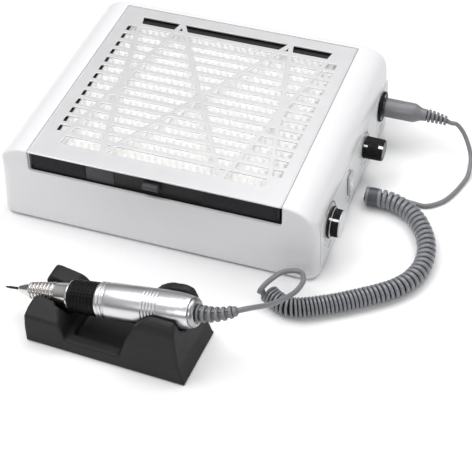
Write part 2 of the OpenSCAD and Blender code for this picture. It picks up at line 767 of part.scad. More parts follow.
// Round cord through the points of way, with steps stretches between each two
module cord(way, radius, steps, sides, first_side) {
    path = route(way, steps);
    along = headings(path);
    across = sideways(along, first_side);
    last = len(path) - 1;
    points = [for (i = [0 : last], j = [0 : sides - 1]) let (angle = 360 * j / sides)
        path[i] + radius * (cos(angle) * across[i] + sin(angle) * cross(along[i], across[i]))];
    faces = concat([[for (j = [0 : sides - 1]) j]],
        [for (i = [0 : last - 1], j = [0 : sides - 1]) let (next = (j + 1) % sides)
            [i * sides + j, (i + 1) * sides + j, (i + 1) * sides + next, i * sides + next]],
        [[for (j = [sides - 1 : -1 : 0]) last * sides + j]]);
    polyhedron(points, faces);
}
module wire(way, steps, first_side) {
    cord(way, 0.9, steps, 6, first_side);
}
module internal_wiring() {
    floor_z = 9.5;
    place() {
        color([0.7, 0.1, 0.1]) wire([for (pos = [[-119, 160], [-119, 110], [-119, 40],
            [-104, 9.6], [-40, 8.6], [60, 8.6], [104, 12], [109, 40]])
            [pos[0], pos[1], floor_z]], 4, [0, 0, 1]);
        color([0.1, 0.1, 0.7]) wire([for (y = [12, 40, 72]) [fan_x, y, 7.2]], 2, [0, 0, 1]);
        color([0.1, 0.1, 0.1]) wire([[-104, 209, 16], [-104, 207, 12], [-104, 203, floor_z],
            [-104, 194, floor_z]], 4, [1, 0, 0]);
        color([0.1, 0.1, 0.1]) wire([[106, 188, 15], [107, 192, 21], [112, 197, 31],
            [121.8, 197.6, 34]], 4, [1, 0, 0]);
    }
}
// The coil lies by the table from beside the housing, round the front corner: [x, y]
coil_way = [[149.7, 106.9], [171.4, 106.7], [191.0, 97.8], [206.7, 78.7], [214.9, 57.4],
    [215.2, 32.9], [204.8, 10.4], [171.5, -17.3], [150.8, -30.3], [136.5, -37.3],
    [127.3, -39.3], [117.1, -35.9], [108.7, -30.5]];
// From the plug down to the table and back to the coil: [x, y, z]
plug_lead_way = [[198.5, 197.6, 34], [200.5, 197.6, 33.6], [204.8, 199.0, 30.5],
    [211.1, 197.7, 26.0], [217.1, 194.2, 18.5], [223.9, 184.1, 9.0], [226.0, 166.2, 3.4],
    [223.6, 154.6, 2.2], [219.2, 140.5, 2.0], [213.4, 128.1, 2.0], [205.5, 119.9, 2.0],
    [198.9, 115.9, 2.0], [188, 116.4, 2], [172, 117.6, 2], [158, 117, 2]];
// From the handpiece's rear end down to the coil: [x, y, z]
hand_lead_way = [[107.72, -101.76, 58.03], [111.6, -100.5, 59.3], [115.6, -94.4, 56.4],
    [124.0, -78.6, 47.0], [128.2, -66.9, 41.0], [132.7, -52.2, 34.5], [135.4, -38.7, 30.0],
    [135.5, -26.2, 27.5], [132.0, -18.0, 26.0], [127.0, -15.7, 25.2], [121.6, -16.8, 24.8],
    [115.6, -20.1, 24.0], [109.9, -28.1, 22.6], [106.0, -34.0, 20.0], [103.6, -38.5, 16.0],
    [104.4, -41.0, 12.8], [106.2, -42.4, 10.2]];
// The coil as a plain tube of its outside radius
module coiled_cord() {
    place() color([0.36, 0.38, 0.42])
        cord([for (pos = coil_way) [pos[0], pos[1], coil_r + 0.2]], coil_r, 6, 14, [0, 0, 1]);
}
module plug_lead() {
    place() color(cord_grey) cord(plug_lead_way, lead_r, 6, 8, [0, 0, 1]);
}
module handpiece_lead() {
    place() color(cord_grey) cord(hand_lead_way, lead_r, 6, 8, [0, 1, 0.4]);
}

// ---------- handpiece: turned parts on one sloping axis, rear end towards +X ----------
hand_z = 37.3;
nose_r = 10.4;
hand_motor_r = 11.2;
hand_bearing_r = 6;
spindle_r = 2;
bit_r = 1.175;
module on_hand_axis() {
    translate([10, -103, hand_z]) rotate([0, 0, -rest_turn]) rotate([0, 90 - hand_tilt, 0])
        children();
}
// Cylinder along the axis from z0 to z1
module hand_rod(z0, z1, radius, fn = 48) {
    translate([0, 0, z0]) cylinder(h = z1 - z0, r = radius, $fn = fn);
}
module handpiece_body() {
    place() color(shaft_grey) on_hand_axis() difference() {
        turned(concat(
            [[0, -12.6], [13.9, -12.6], [14.3, -12.1], [14.3, -9.6], [13.9, -9.2], [14.3, -8.8],
                [14.3, -6.6], [13.2, -6], [13.2, -5.2], [14.1, -4.8], [hand_r, -4.2],
                [hand_r, 27.6]],
            // five grooves
            [for (i = [0 : 4]) each let (z = 28.2 + i * 2.7)
                [[hand_r - 0.5, z], [hand_r - 0.5, z + 0.9], [hand_r, z + 1.3],
                    [hand_r, z + 2.3]]],
            [[hand_r, 43], [14.3, 50], [13.8, 57], [12.9, 62], [11.9, 65.5], [0, 65.5]]));
        hand_rod(-13.6, -4, 9.5);
        hand_rod(-4.1, 54.5, hand_motor_r + 0.1);
        hand_rod(54.4, 66.5, 9.7);
    }
}
module handpiece_nose() {
    place() color([0.82, 0.81, 0.8]) on_hand_axis() difference() {
        turned(concat(
            [[0, -86], [2.2, -86], [2.8, -85], [6.1, -75.4]],
            // seven ribs, growing towards the rear
            [for (i = [0 : 6]) each let (z = -74.8 + i * 3.3, radius = 6.5 + i * 0.4)
                [[radius + 0.2, z], [radius + 0.3, z + 1.9], [radius - 0.6, z + 2.4],
                    [radius - 0.6, z + 3]]],
            [[9, -51.4], [9.3, -50.8], [nose_r, -39.4], [12.4, -38.9], [12.4, -37],
                [nose_r, -37], [nose_r, -12.8], [9.4, -12.7], [9.4, -6.6], [0, -6.6]]));
        turned([[0, -87], [1.7, -87], [1.7, -84], [2.6, -83.3], [3.95, -78.6], [3.95, -61.9],
            [0, -61.9]], 48);
        hand_rod(-62, -5.6, hand_bearing_r + 0.05);
    }
}
module lock_sleeve() {
    place() color(knob_black) on_hand_axis() difference() {
        turned(concat([[0, -36.8], [12.9, -36.8], [13.3, -36.3]],
            [for (i = [0 : 6]) each let (z = -35.2 + i * 3)
                [[13.35, z], [13.35, z + 1.7], [12.7, z + 2], [12.7, z + 2.7]]],
            [[13.4, -13.4], [13.1, -12.8], [0, -12.8]]));
        hand_rod(-38, -5, nose_r + 0.06);
    }
}
module handpiece_rear_cap() {
    place() color([0.62, 0.62, 0.63]) on_hand_axis() difference() {
        turned([[0, 59.5], [9.6, 59.5], [9.6, 65.6], [11.8, 65.6], [11.6, 67.4], [10.6, 68.9],
            [8.8, 69.6], [0, 69.6]]);
        hand_rod(58.5, 66.5, 7.5);
        hand_rod(58.5, 73, 5.04);
    }
}
// One rib of the strain relief, then the ribs behind it; each of the first four turns the next
// a little further, and a plain tip follows the fifth.
module relief_links(i) {
    rib_r = 6.6 - i * 0.42;
    core_r = rib_r - 1.7;
    turned([[0, -0.6], [core_r, -0.6], [core_r, 2], [rib_r, 2.4], [rib_r - 0.1, 4.6],
        [core_r, 4.8], [core_r, 5.2], [0, 5.2]], 48);
    translate([0, 0, 5.1])
        if (i < 4) rotate([-5, -2, 0]) relief_links(i + 1);
        else turned([[0, -0.3], [3.9, -0.3], [4.1, 0.4], [3.8, 3.2], [3.4, 3.4], [0, 3.4]], 48);
}
module handpiece_strain_relief() {
    place() color(cord_grey) on_hand_axis() union() {
        turned([[0, 64.5], [6.6, 64.5], [6.6, 66.2], [5, 66.2], [5, 69.9], [7.1, 70],
            [7.2, 71.2], [6.2, 71.6], [0, 71.6]], 64);
        translate([0, 0, 71.4]) relief_links(0);
    }
}
module handpiece_motor() {
    place() color([0.7, 0.7, 0.72]) on_hand_axis() difference() {
        hand_rod(-3.9, 45.4, hand_motor_r, 64);
        hand_rod(-2.1, 43.4, 9.6, 64);
        hand_rod(-7, 55, spindle_r + 0.06);
    }
}
module handpiece_bearings() {
    place() color(bearing_grey) on_hand_axis() for (z = [-61.8, -16.6]) difference() {
        hand_rod(z, z + 4, hand_bearing_r);
        hand_rod(z - 1, z + 8, spindle_r + 0.06);
    }
}
module spindle() {
    place() color(shaft_grey) on_hand_axis() union() {
        hand_rod(-66, 44.4, spindle_r);
        hand_rod(1.4, 37.4, 8, 64);
    }
}
module collet() {
    place() color(screw_grey) on_hand_axis() difference() {
        turned([[0, -83.1], [2, -83.1], [3.45, -78.2], [3.6, -78], [3.6, -66.02], [0, -66.02]], 48);
        hand_rod(-90, -68, bit_r + 0.015, 32);
    }
}
module bit() {
    place() color([0.2, 0.19, 0.19]) on_hand_axis() union() {
        hand_rod(-96, -68.1, bit_r, 32);
        turned([[0, -99], [0.5, -98.8], [0.8, -97], [0.9, -96], [0, -96]], 32);
    }
}

// ---------- rest for the handpiece ----------
// Outline seen along Y: [x, z]
rest_side = [[-65.5, 0], [69, 0], [67.8, 3], [64, 14], [60.8, 33], [58.4, 47], [55.8, 52.6],
    [50.2, 54.5], [39.5, 52.3], [33, 48.5], [29, 45], [24.5, 39], [19, 28], [14.8, 12.4],
    [12, 11], [-29, 11], [-31.5, 12], [-34.5, 22], [-37.3, 26.4], [-41.4, 30.1], [-50, 32],
    [-56, 33.4], [-60.5, 34], [-63, 33], [-65.2, 29], [-66.2, 21], [-66.2, 12]];
// Outlines of the -X half and the +X half seen along X: [y, z]
rest_left = [[-30, 0], [30, 0], [29.2, 12], [27.5, 24], [25.8, 32], [24.6, 40], [-9, 40],
    [-10, 34.5], [-12, 33.4], [-27.6, 26], [-28.2, 24.6], [-29.2, 12]];
rest_right = [[-30, 0], [30, 0], [29.2, 12], [27, 28], [24.5, 44], [22.5, 56], [16, 56],
    [-19, 50.5], [-22.5, 47.5], [-24.5, 42], [-27, 28], [-29.2, 12]];
// Stretches of the channel along the handpiece's axis: [start, length, radius]
rest_channel = [[-14, 94, 15], [-47, 34, 13.9], [-90, 46, 10.2]];
module channel_slot(start, length, radius) {
    depth = 60;
    translate([-depth, -radius, start]) cube([depth, 2 * radius, length]);
}
module cradle() {
    place() translate([9.6, -103.4, 0]) rotate([0, 0, -rest_turn])
        color([0.13, 0.13, 0.14]) difference() {
            intersection() {
                translate([0, 31, 0]) rotate([90, 0, 0]) linear_extrude(62) polygon(rest_side);
                union() {
                    translate([-70, 0, 0]) rotate([90, 0, 90])
                        linear_extrude(70.01) polygon(rest_left);
                    rotate([90, 0, 90]) linear_extrude(72) polygon(rest_right);
                }
            }
            // channel that takes the handpiece, open upwards
            translate([0.381, 0.418, hand_z]) rotate([0, 90 - hand_tilt, 0]) {
                for (part = rest_channel) {
                    hand_rod(part[0], part[0] + part[1], part[2], 64);
                    channel_slot(part[0], part[1], part[2]);
                }
                channel_slot(-120, 46, 10.2);
            }
            // pocket across the middle
            box([-28, -19.5, 6], [13, 19.5, 60]);
        }
}

top_shell();
base_plate();
rubber_feet();
base_screws();
exhaust_grille();
power_inlet();
fan_deck();
fan_guard();
fan_shroud();
filter_gasket();
cover_magnets();
motor_mount();
motor_screws();
motor_can();
motor_bearings();
motor_stator();
motor_rotor();
motor_shaft();
impeller();
impeller_nut();
power_board();
power_components();
heat_sink();
control_board();
control_label();
potentiometers();
pot_nuts();
suction_knob();
suction_knob_cap();
suction_pot_shaft();
speed_knob();
speed_knob_cap();
speed_pot_shaft();
direction_rocker();
direction_switch();
handpiece_socket();
internal_wiring();
cover_plate();
filter_frame();
filter_media();
filter_pads();
filter_pull_tab();
plug_ferrule();
plug_body();
plug_pins();
plug_lead();
coiled_cord();
cradle();
handpiece_body();
handpiece_nose();
lock_sleeve();
handpiece_rear_cap();
handpiece_strain_relief();
handpiece_lead();
handpiece_motor();
handpiece_bearings();
spindle();
collet();
bit();
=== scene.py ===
# Table-top suction unit with a pleated filter under a slotted cover plate, and a rotary handpiece
# on a coiled cord, lying in a rubber rest in front of the housing.
# Working coordinates are millimetres: X = 0 at the housing's middle, Y = 0 at its front wall with
# Y growing to the rear, Z = 0 on the table. The knobs, rocker and socket are on the +X side.
import json
import math

import bmesh
import bpy
import numpy as np
from mathutils import Matrix, Vector
from mathutils.geometry import delaunay_2d_cdt


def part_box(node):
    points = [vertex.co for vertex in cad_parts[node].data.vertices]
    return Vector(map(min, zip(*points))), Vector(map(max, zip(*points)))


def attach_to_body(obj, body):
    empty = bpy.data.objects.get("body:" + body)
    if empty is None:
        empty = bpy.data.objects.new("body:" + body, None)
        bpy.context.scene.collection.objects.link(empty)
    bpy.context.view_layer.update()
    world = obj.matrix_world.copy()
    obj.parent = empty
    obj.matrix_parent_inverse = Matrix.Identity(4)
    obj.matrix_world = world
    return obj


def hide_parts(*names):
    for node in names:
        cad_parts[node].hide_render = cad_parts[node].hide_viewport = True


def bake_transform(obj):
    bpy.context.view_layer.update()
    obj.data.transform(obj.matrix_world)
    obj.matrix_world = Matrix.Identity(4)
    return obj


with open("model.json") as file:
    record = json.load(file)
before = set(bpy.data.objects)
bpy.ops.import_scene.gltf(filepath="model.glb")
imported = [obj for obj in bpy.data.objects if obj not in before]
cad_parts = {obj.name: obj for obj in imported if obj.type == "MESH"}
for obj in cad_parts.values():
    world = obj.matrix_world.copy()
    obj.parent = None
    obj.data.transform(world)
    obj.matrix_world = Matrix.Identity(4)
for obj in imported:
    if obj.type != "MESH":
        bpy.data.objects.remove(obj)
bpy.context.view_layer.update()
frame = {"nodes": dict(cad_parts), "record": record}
NODES = frame["nodes"]
COLLECTION = bpy.context.scene.collection

shell_low, shell_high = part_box("top_shell")
OFFSET = np.array([(shell_low.x + shell_high.x) * 500.0, shell_low.y * 1000.0, 0.0])


def metres(points):
    """Scene metres for points in working millimetres."""
    return (np.asarray(points, float) + OFFSET) / 1000.0


def node_box(name):
    """Corners of a CAD piece's box in working millimetres."""
    low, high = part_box(name)
    return np.array(low) * 1000 - OFFSET, np.array(high) * 1000 - OFFSET


# ---------------------------------------------------------------- shader helpers
def new_material(name):
    material = bpy.data.materials.new(name)
    material.use_nodes = True
    tree = material.node_tree
    tree.nodes.clear()
    output = tree.nodes.new("ShaderNodeOutputMaterial")
    shader = tree.nodes.new("ShaderNodeBsdfPrincipled")
    tree.links.new(shader.outputs[0], output.inputs[0])
    return material, tree, shader


def linear(colour):
    """sRGB to linear."""
    return tuple(c / 12.92 if c <= 0.04045 else ((c + 0.055) / 1.055) ** 2.4 for c in colour)


def feed(tree, socket, value):
    """Links a node's output to the socket, or sets a colour or number on it."""
    if isinstance(value, bpy.types.NodeSocket):
        tree.links.new(value, socket)
    elif isinstance(value, tuple):
        socket.default_value = (*value, 1)
    else:
        socket.default_value = value


def ramp(tree, factor, *stops):
    """Grey ramp through two (position, value) stops."""
    node = tree.nodes.new("ShaderNodeValToRGB")
    for element, (position, value) in zip(node.color_ramp.elements, stops):
        element.position = position
        element.color = (value, value, value, 1)
    tree.links.new(factor, node.inputs[0])
    return node.outputs[0]


def noise(tree, coords, scale, detail, roughness=0.55, stretch=None):
    node = tree.nodes.new("ShaderNodeTexNoise")
    node.inputs["Scale"].default_value = scale
    node.inputs["Detail"].default_value = detail
    node.inputs["Roughness"].default_value = roughness
    if stretch:
        mapping = tree.nodes.new("ShaderNodeMapping")
        mapping.inputs["Scale"].default_value = stretch
        tree.links.new(coords, mapping.inputs[0])
        coords = mapping.outputs[0]
    tree.links.new(coords, node.inputs["Vector"])
    return node.outputs["Fac"]


def calc(tree, operation, first, second, clamp=False):
    node = tree.nodes.new("ShaderNodeMath")
    node.operation = operation
    node.use_clamp = clamp
    feed(tree, node.inputs[0], first)
    feed(tree, node.inputs[1], second)
    return node.outputs[0]


def mix(tree, factor, first, second):
    node = tree.nodes.new("ShaderNodeMix")
    node.data_type = "RGBA"
    # inputs 6 and 7 and output 2 are the node's colour sockets
    feed(tree, node.inputs[0], factor)
    feed(tree, node.inputs[6], first)
    feed(tree, node.inputs[7], second)
    return node.outputs[2]


def add_bump(tree, strength, depth):
    node = tree.nodes.new("ShaderNodeBump")
    node.inputs["Strength"].default_value = strength
    node.inputs["Distance"].default_value = depth
    return node


def edge_wear_and_highlight(tree, coords, bevel_normal, colour, edge):
    """Mixes in the edge colour where the softened normal leaves the face's own. The lighter edge
    colour is partly wear and partly a painted highlight.
    """
    geometry = tree.nodes.new("ShaderNodeNewGeometry")
    dot = tree.nodes.new("ShaderNodeVectorMath")
    dot.operation = "DOT_PRODUCT"
    tree.links.new(bevel_normal, dot.inputs[0])
    tree.links.new(geometry.outputs["Normal"], dot.inputs[1])
    edge_mask = calc(tree, "SUBTRACT", 1.0, dot.outputs["Value"], clamp=True)
    edge_mask = calc(tree, "MULTIPLY", edge_mask, 3.0, clamp=True)
    patches = ramp(tree, noise(tree, coords, scale=900, detail=3), (0.35, 0.3), (0.6, 1.0))
    return mix(tree, calc(tree, "MULTIPLY", edge_mask, patches), colour, linear(edge))


def painted_crevice_shade(tree, colour, base, amount):
    # Painted shade: the colour is darkened where ambient occlusion finds a crevice.
    occlusion = tree.nodes.new("ShaderNodeAmbientOcclusion")
    occlusion.samples = 4
    occlusion.inputs["Distance"].default_value = 0.004
    painted_shade = calc(tree, "SUBTRACT", 1.0, occlusion.outputs["AO"], clamp=True)
    painted_shade = calc(tree, "MULTIPLY", painted_shade, amount, clamp=True)
    return mix(tree, painted_shade, colour, tuple(c * 0.35 for c in base))


def surface(name, colour, rough, metallic=0.0, coat=0.0, coat_rough=0.15, spec=0.5, var=0.03,
            var_scale=40, grains=(), bevel=0.0, edge=None, painted_shade=0.0, rough_var=0.06, aniso=0.0):
    """A procedural finish.

    var, var_scale: strength and noise scale of the colour drift; rough_var: roughness drift
    grains: bump layers (noise scale, strength, depth in metres[, noise stretch])
    bevel: radius of the softened edges in metres; edge: colour of the edges, partly wear and partly
    painted highlight
    painted_shade: strength of the painted shade that darkens the colour in crevices
    """
    material, tree, shader = new_material(name)
    coords = tree.nodes.new("ShaderNodeTexCoord").outputs["Object"]
    base = linear(colour)
    drift = noise(tree, coords, var_scale, detail=4)
    dark = tuple(c * (1 - var) for c in base)
    light = tuple(min(1, c * (1 + var)) for c in base)
    shade_colour = mix(tree, ramp(tree, drift, (0.3, 0.0), (0.7, 1.0)), dark, light)
    normal = None
    if bevel:
        softened = tree.nodes.new("ShaderNodeBevel")
        softened.samples = 4
        softened.inputs["Radius"].default_value = bevel
        normal = softened.outputs[0]
        # lighter edges: partly wear, partly a painted highlight
        if edge:
            shade_colour = edge_wear_and_highlight(tree, coords, normal, shade_colour, edge)
    # painted shade: the colour darkens in crevices, where shade falls
    if painted_shade:
        shade_colour = painted_crevice_shade(tree, shade_colour, base, painted_shade)
    tree.links.new(shade_colour, shader.inputs["Base Color"])
    patchy = noise(tree, coords, var_scale * 6, detail=5, roughness=0.6)
    patchy = calc(tree, "SUBTRACT", patchy, 0.5)
    patchy = calc(tree, "MULTIPLY", patchy, rough_var * 2)
    roughness = calc(tree, "ADD", patchy, rough, clamp=True)
    tree.links.new(roughness, shader.inputs["Roughness"])
    for socket, value in (("Metallic", metallic), ("Specular IOR Level", spec),
                          ("Coat Weight", coat), ("Coat Roughness", coat_rough),
                          ("Anisotropic", aniso)):
        shader.inputs[socket].default_value = value
    for scale, strength, depth, *stretch in grains:
        bump = add_bump(tree, strength, depth)
        height = noise(tree, coords, scale, detail=4, roughness=0.6,
                       stretch=stretch[0] if stretch else None)
        tree.links.new(height, bump.inputs["Height"])
        if normal is not None:
            tree.links.new(normal, bump.inputs["Normal"])
        normal = bump.outputs[0]
    if normal is not None:
        tree.links.new(normal, shader.inputs["Normal"])
    return material


def filter_material():
    """White paper with crossed fibres."""
    material, tree, shader = new_material("filter_paper")
    coords = tree.nodes.new("ShaderNodeTexCoord").outputs["Object"]
    along, across = [noise(tree, coords, scale=1500, detail=6, roughness=0.75, stretch=stretch)
                     for stretch in ((1, 5, 1), (5, 1, 1))]
    fibres = calc(tree, "MAXIMUM", along, across)
    colour = mix(tree, ramp(tree, fibres, (0.4, 0.0), (0.75, 1.0)),
                 linear((0.93, 0.93, 0.925)), linear((0.995, 0.995, 0.99)))
    blotches = ramp(tree, noise(tree, coords, scale=120, detail=4), (0.35, 0.0), (0.75, 1.0))
    colour = mix(tree, calc(tree, "MULTIPLY", blotches, 0.35), colour, linear((0.9, 0.9, 0.89)))
    tree.links.new(colour, shader.inputs["Base Color"])
    # the emission is painted light: it brightens the white paper seen deep through the plate's
    # slots, where the lamps reach little
    for socket, value in (("Roughness", 0.9), ("Sheen Weight", 0.3), ("Specular IOR Level", 0.2),
                          ("Subsurface Weight", 0.35),
                          ("Subsurface Radius", (0.003, 0.003, 0.003)),
                          ("Subsurface Scale", 1.0), ("Emission Color", (1.0, 1.0, 0.99, 1)),
                          ("Emission Strength", 0.19)):
        shader.inputs[socket].default_value = value
    bump = add_bump(tree, strength=0.7, depth=0.0002)
    tree.links.new(fibres, bump.inputs["Height"])
    tree.links.new(bump.outputs[0], shader.inputs["Normal"])
    return material


# ---------------------------------------------------------------- materials, by slot
# The crevice darkening set in these finishes is painted shade.
M = {}
M["white_shell"] = surface(
    "white_abs", (0.885, 0.885, 0.89), rough=0.34, coat=0.25, coat_rough=0.22, var=0.012,
    var_scale=9, grains=[(2600, 0.10, 0.00006), (60, 0.04, 0.0004)], bevel=0.0006, painted_shade=0.15,
    rough_var=0.05)
M["white_base"] = surface(
    "white_abs_matt", (0.89, 0.89, 0.9), rough=0.55, var=0.02, grains=[(1800, 0.25, 0.0001)],
    bevel=0.0004, painted_shade=0.3)
M["black_rubber"] = surface(
    "foot_rubber", (0.1, 0.1, 0.105), rough=0.75, var=0.15, var_scale=300,
    grains=[(2500, 0.4, 0.0001)], bevel=0.0004)
M["zinc_screws"] = surface(
    "zinc", (0.72, 0.72, 0.73), rough=0.3, metallic=1, var=0.06, var_scale=400,
    grains=[(3000, 0.15, 0.00005)], bevel=0.0002, edge=(0.9, 0.9, 0.9), painted_shade=0.5)
M["black_plastic"] = surface(
    "black_abs", (0.035, 0.035, 0.038), rough=0.5, var=0.1, var_scale=60,
    grains=[(3200, 0.3, 0.00008)], bevel=0.0004, edge=(0.25, 0.25, 0.26), painted_shade=0.3)
M["grey_plastic"] = surface(
    "grey_abs", (0.36, 0.36, 0.38), rough=0.5, var=0.05, grains=[(2600, 0.3, 0.00008)],
    bevel=0.0004, painted_shade=0.3)
M["foam"] = surface(
    "foam", (0.2, 0.2, 0.21), rough=0.95, var=0.35, var_scale=1600,
    grains=[(1400, 1.0, 0.0004), (3800, 0.8, 0.0002)], spec=0.2)
M["magnet_metal"] = surface(
    "nickel", (0.68, 0.68, 0.7), rough=0.25, metallic=1, var=0.05,
    grains=[(2500, 0.1, 0.00005)], bevel=0.0003)
M["sheet_steel"] = surface(
    "plated_sheet", (0.72, 0.73, 0.74), rough=0.36, metallic=1, var=0.05,
    grains=[(900, 0.12, 0.0001, (1, 12, 1))], bevel=0.0004, painted_shade=0.3)
M["bearing_steel"] = surface(
    "ground_steel", (0.8, 0.8, 0.81), rough=0.18, metallic=1, var=0.03,
    grains=[(3000, 0.08, 0.00004)], bevel=0.0002)
M["copper_winding"] = surface(
    "enamelled_copper", (0.76, 0.42, 0.22), rough=0.32, metallic=1, var=0.15, var_scale=900,
    grains=[(1500, 0.8, 0.0003, (1, 1, 6))], painted_shade=0.6)
M["circuit_board"] = surface(
    "solder_mask", (0.06, 0.3, 0.16), rough=0.3, coat=0.5, var=0.2, var_scale=500,
    grains=[(900, 0.3, 0.0001)], bevel=0.0002)
M["component_plastic"] = surface(
    "component", (0.75, 0.68, 0.25), rough=0.4, var=0.1, grains=[(2000, 0.2, 0.0001)],
    bevel=0.0005, painted_shade=0.3)
M["heat_sink_metal"] = surface(
    "extrusion", (0.74, 0.75, 0.76), rough=0.34, metallic=1, var=0.04,
    grains=[(800, 0.3, 0.0001, (1, 1, 0.05))], bevel=0.0002)
M["component_metal"] = surface(
    "pot_can", (0.7, 0.7, 0.72), rough=0.3, metallic=1, var=0.05,
    grains=[(1800, 0.1, 0.0001)], bevel=0.0003)
M["knob_black"] = surface(
    "knob_black", (0.03, 0.03, 0.033), rough=0.42, var=0.12, var_scale=120,
    grains=[(3600, 0.22, 0.00006)], bevel=0.0003, edge=(0.14, 0.14, 0.15), spec=0.18)
M["cap_silver"] = surface(
    "knob_cap", (0.84, 0.845, 0.85), rough=0.34, metallic=0.55, var=0.03,
    grains=[(1500, 0.15, 0.00008)], aniso=0.6, bevel=0.0002)
M["cap_dark"] = surface(
    "knob_end_dark", (0.36, 0.365, 0.375), rough=0.32, metallic=0.85, var=0.05,
    grains=[(1500, 0.15, 0.00008)], aniso=0.6, bevel=0.0002)
# Painted shade: a near-black finish for the tube that stands for the shade inside the coil.
M["coil_painted_shade"] = surface(
    "coil_painted_shade", (0.13, 0.133, 0.14), rough=0.8, var=0.15, var_scale=300,
    grains=[(1500, 0.3, 0.0001)], spec=0.1)
M["pointer_white"] = surface(
    "pointer_white", (0.97, 0.97, 0.96), rough=0.4, var=0.02, grains=[(3000, 0.1, 0.00005)])
M["rocker_grey"] = surface(
    "rocker_grey", (0.87, 0.875, 0.875), rough=0.28, coat=0.3, var=0.03,
    grains=[(3200, 0.12, 0.00006)], bevel=0.0004, painted_shade=0.3)
M["rocker_frame"] = surface(
    "rocker_frame", (0.75, 0.755, 0.76), rough=0.35, var=0.03,
    grains=[(3200, 0.15, 0.00006)], bevel=0.0003, painted_shade=0.4)
M["panel_film"] = surface(
    "panel_film", (0.9, 0.905, 0.905), rough=0.42, var=0.015,
    grains=[(4200, 0.18, 0.00005)], bevel=0.0001)
M["print_grey"] = surface(
    "print_grey", (0.6, 0.61, 0.62), rough=0.5, var=0.06, var_scale=300,
    grains=[(4200, 0.15, 0.00004)])
M["print_dark"] = surface(
    "print_dark", (0.22, 0.22, 0.23), rough=0.5, var=0.1, var_scale=300,
    grains=[(4200, 0.15, 0.00004)])
M["wire_sheath"] = surface(
    "wire_sheath", (0.6, 0.1, 0.1), rough=0.45, var=0.05, grains=[(2000, 0.2, 0.0001)])
M["plate_metal"] = surface(
    "satin_plate", (0.885, 0.885, 0.89), rough=0.42, metallic=0.65, var=0.02, var_scale=14,
    grains=[(2400, 0.10, 0.00006), (320, 0.06, 0.00012, (0.2, 4, 1))], rough_var=0.07)
M["tab_grey"] = surface(
    "tab_grey", (0.25, 0.25, 0.26), rough=0.55, var=0.1, var_scale=250,
    grains=[(1600, 0.5, 0.0002)], bevel=0.0003)
M["ferrule_chrome"] = surface(
    "ferrule", (0.8, 0.8, 0.82), rough=0.16, metallic=1, var=0.04,
    grains=[(2000, 0.1, 0.00005)], bevel=0.0003)
M["cord_grey"] = surface(
    "cord_grey", (0.46, 0.462, 0.475), rough=0.4, coat=0.15, var=0.06, var_scale=120,
    grains=[(2600, 0.22, 0.00008), (160, 0.12, 0.0003)], painted_shade=0.95)
M["pin_brass"] = surface(
    "pin", (0.82, 0.74, 0.48), rough=0.2, metallic=1, var=0.05,
    grains=[(2000, 0.1, 0.00004)], bevel=0.0001)
M["coil_grey"] = surface(
    "coil_grey", (0.475, 0.482, 0.5), rough=0.3, coat=0.45, coat_rough=0.18, var=0.06,
    var_scale=160, grains=[(2600, 0.16, 0.00007), (220, 0.15, 0.0003)], painted_shade=0.8)
M["coil_cuff"] = surface(
    "coil_cuff", (0.25, 0.265, 0.29), rough=0.42, coat=0.2, coat_rough=0.3, var=0.08,
    var_scale=160, grains=[(2600, 0.2, 0.00008), (300, 0.2, 0.0003, (8, 1, 1))], painted_shade=0.4)
M["cradle_rubber"] = surface(
    "cradle_rubber", (0.075, 0.074, 0.08), rough=0.58, var=0.12, var_scale=55,
    grains=[(2300, 0.35, 0.0001), (260, 0.12, 0.0003)], spec=0.4, rough_var=0.1)
M["hand_aluminium"] = surface(
    "hand_aluminium", (0.87, 0.87, 0.88), rough=0.3, metallic=1, var=0.02, var_scale=60,
    grains=[(700, 0.1, 0.00006, (14, 1, 1))], aniso=0.35, rough_var=0.05, painted_shade=0.35)
M["hand_chrome"] = surface(
    "hand_chrome", (0.86, 0.85, 0.84), rough=0.17, metallic=1, var=0.04, var_scale=150,
    grains=[(900, 0.12, 0.00005, (14, 1, 1))], painted_shade=0.5)
M["sleeve_rubber"] = surface(
    "sleeve_black", (0.03, 0.03, 0.034), rough=0.4, var=0.12, var_scale=200,
    grains=[(2600, 0.25, 0.00008)], painted_shade=0.3, spec=0.2)
M["hand_rear_grey"] = surface(
    "hand_rear", (0.7, 0.7, 0.71), rough=0.28, metallic=1, var=0.04,
    grains=[(900, 0.12, 0.00006, (14, 1, 1))], painted_shade=0.4)
M["dark_steel"] = surface(
    "dark_steel", (0.25, 0.23, 0.23), rough=0.3, metallic=1, var=0.15, var_scale=700,
    grains=[(1800, 0.4, 0.0001)])
M["filter_paper"] = filter_material()

slot_of = {part["node"]: part["material_slot"] for part in frame["record"]["subparts"]}
for node_name, node_object in NODES.items():
    node_object.data.materials.clear()
    node_object.data.materials.append(M[slot_of[node_name]])


# ---------------------------------------------------------------- mesh helpers
def shade(ob, angle):
    ob.data.shade_smooth()
    ob.data.set_sharp_from_angle(angle=math.radians(angle))


def mesh_object(name, verts, faces, mat=None, angle=35, recalc=True):
    """Object from points in working millimetres; mat is a key of M."""
    mesh = bpy.data.meshes.new(name)
    mesh.from_pydata([tuple(p) for p in metres(verts)], [],
                     [tuple(int(i) for i in face) for face in faces])
    ob = bpy.data.objects.new(name, mesh)
    COLLECTION.objects.link(ob)
    if recalc:
        bm = bmesh.new()
        bm.from_mesh(mesh)
        bmesh.ops.recalc_face_normals(bm, faces=bm.faces)
        bm.to_mesh(mesh)
        bm.free()
    if mat:
        mesh.materials.append(M[mat])
    shade(ob, angle)
    return ob


def apply_modifiers(ob):
    depsgraph = bpy.context.evaluated_depsgraph_get()
    mesh = bpy.data.meshes.new_from_object(ob.evaluated_get(depsgraph),
                                           preserve_all_data_layers=True, depsgraph=depsgraph)
    ob.modifiers.clear()
    old = ob.data
    ob.data = mesh
    if old.users == 0:
        bpy.data.meshes.remove(old)


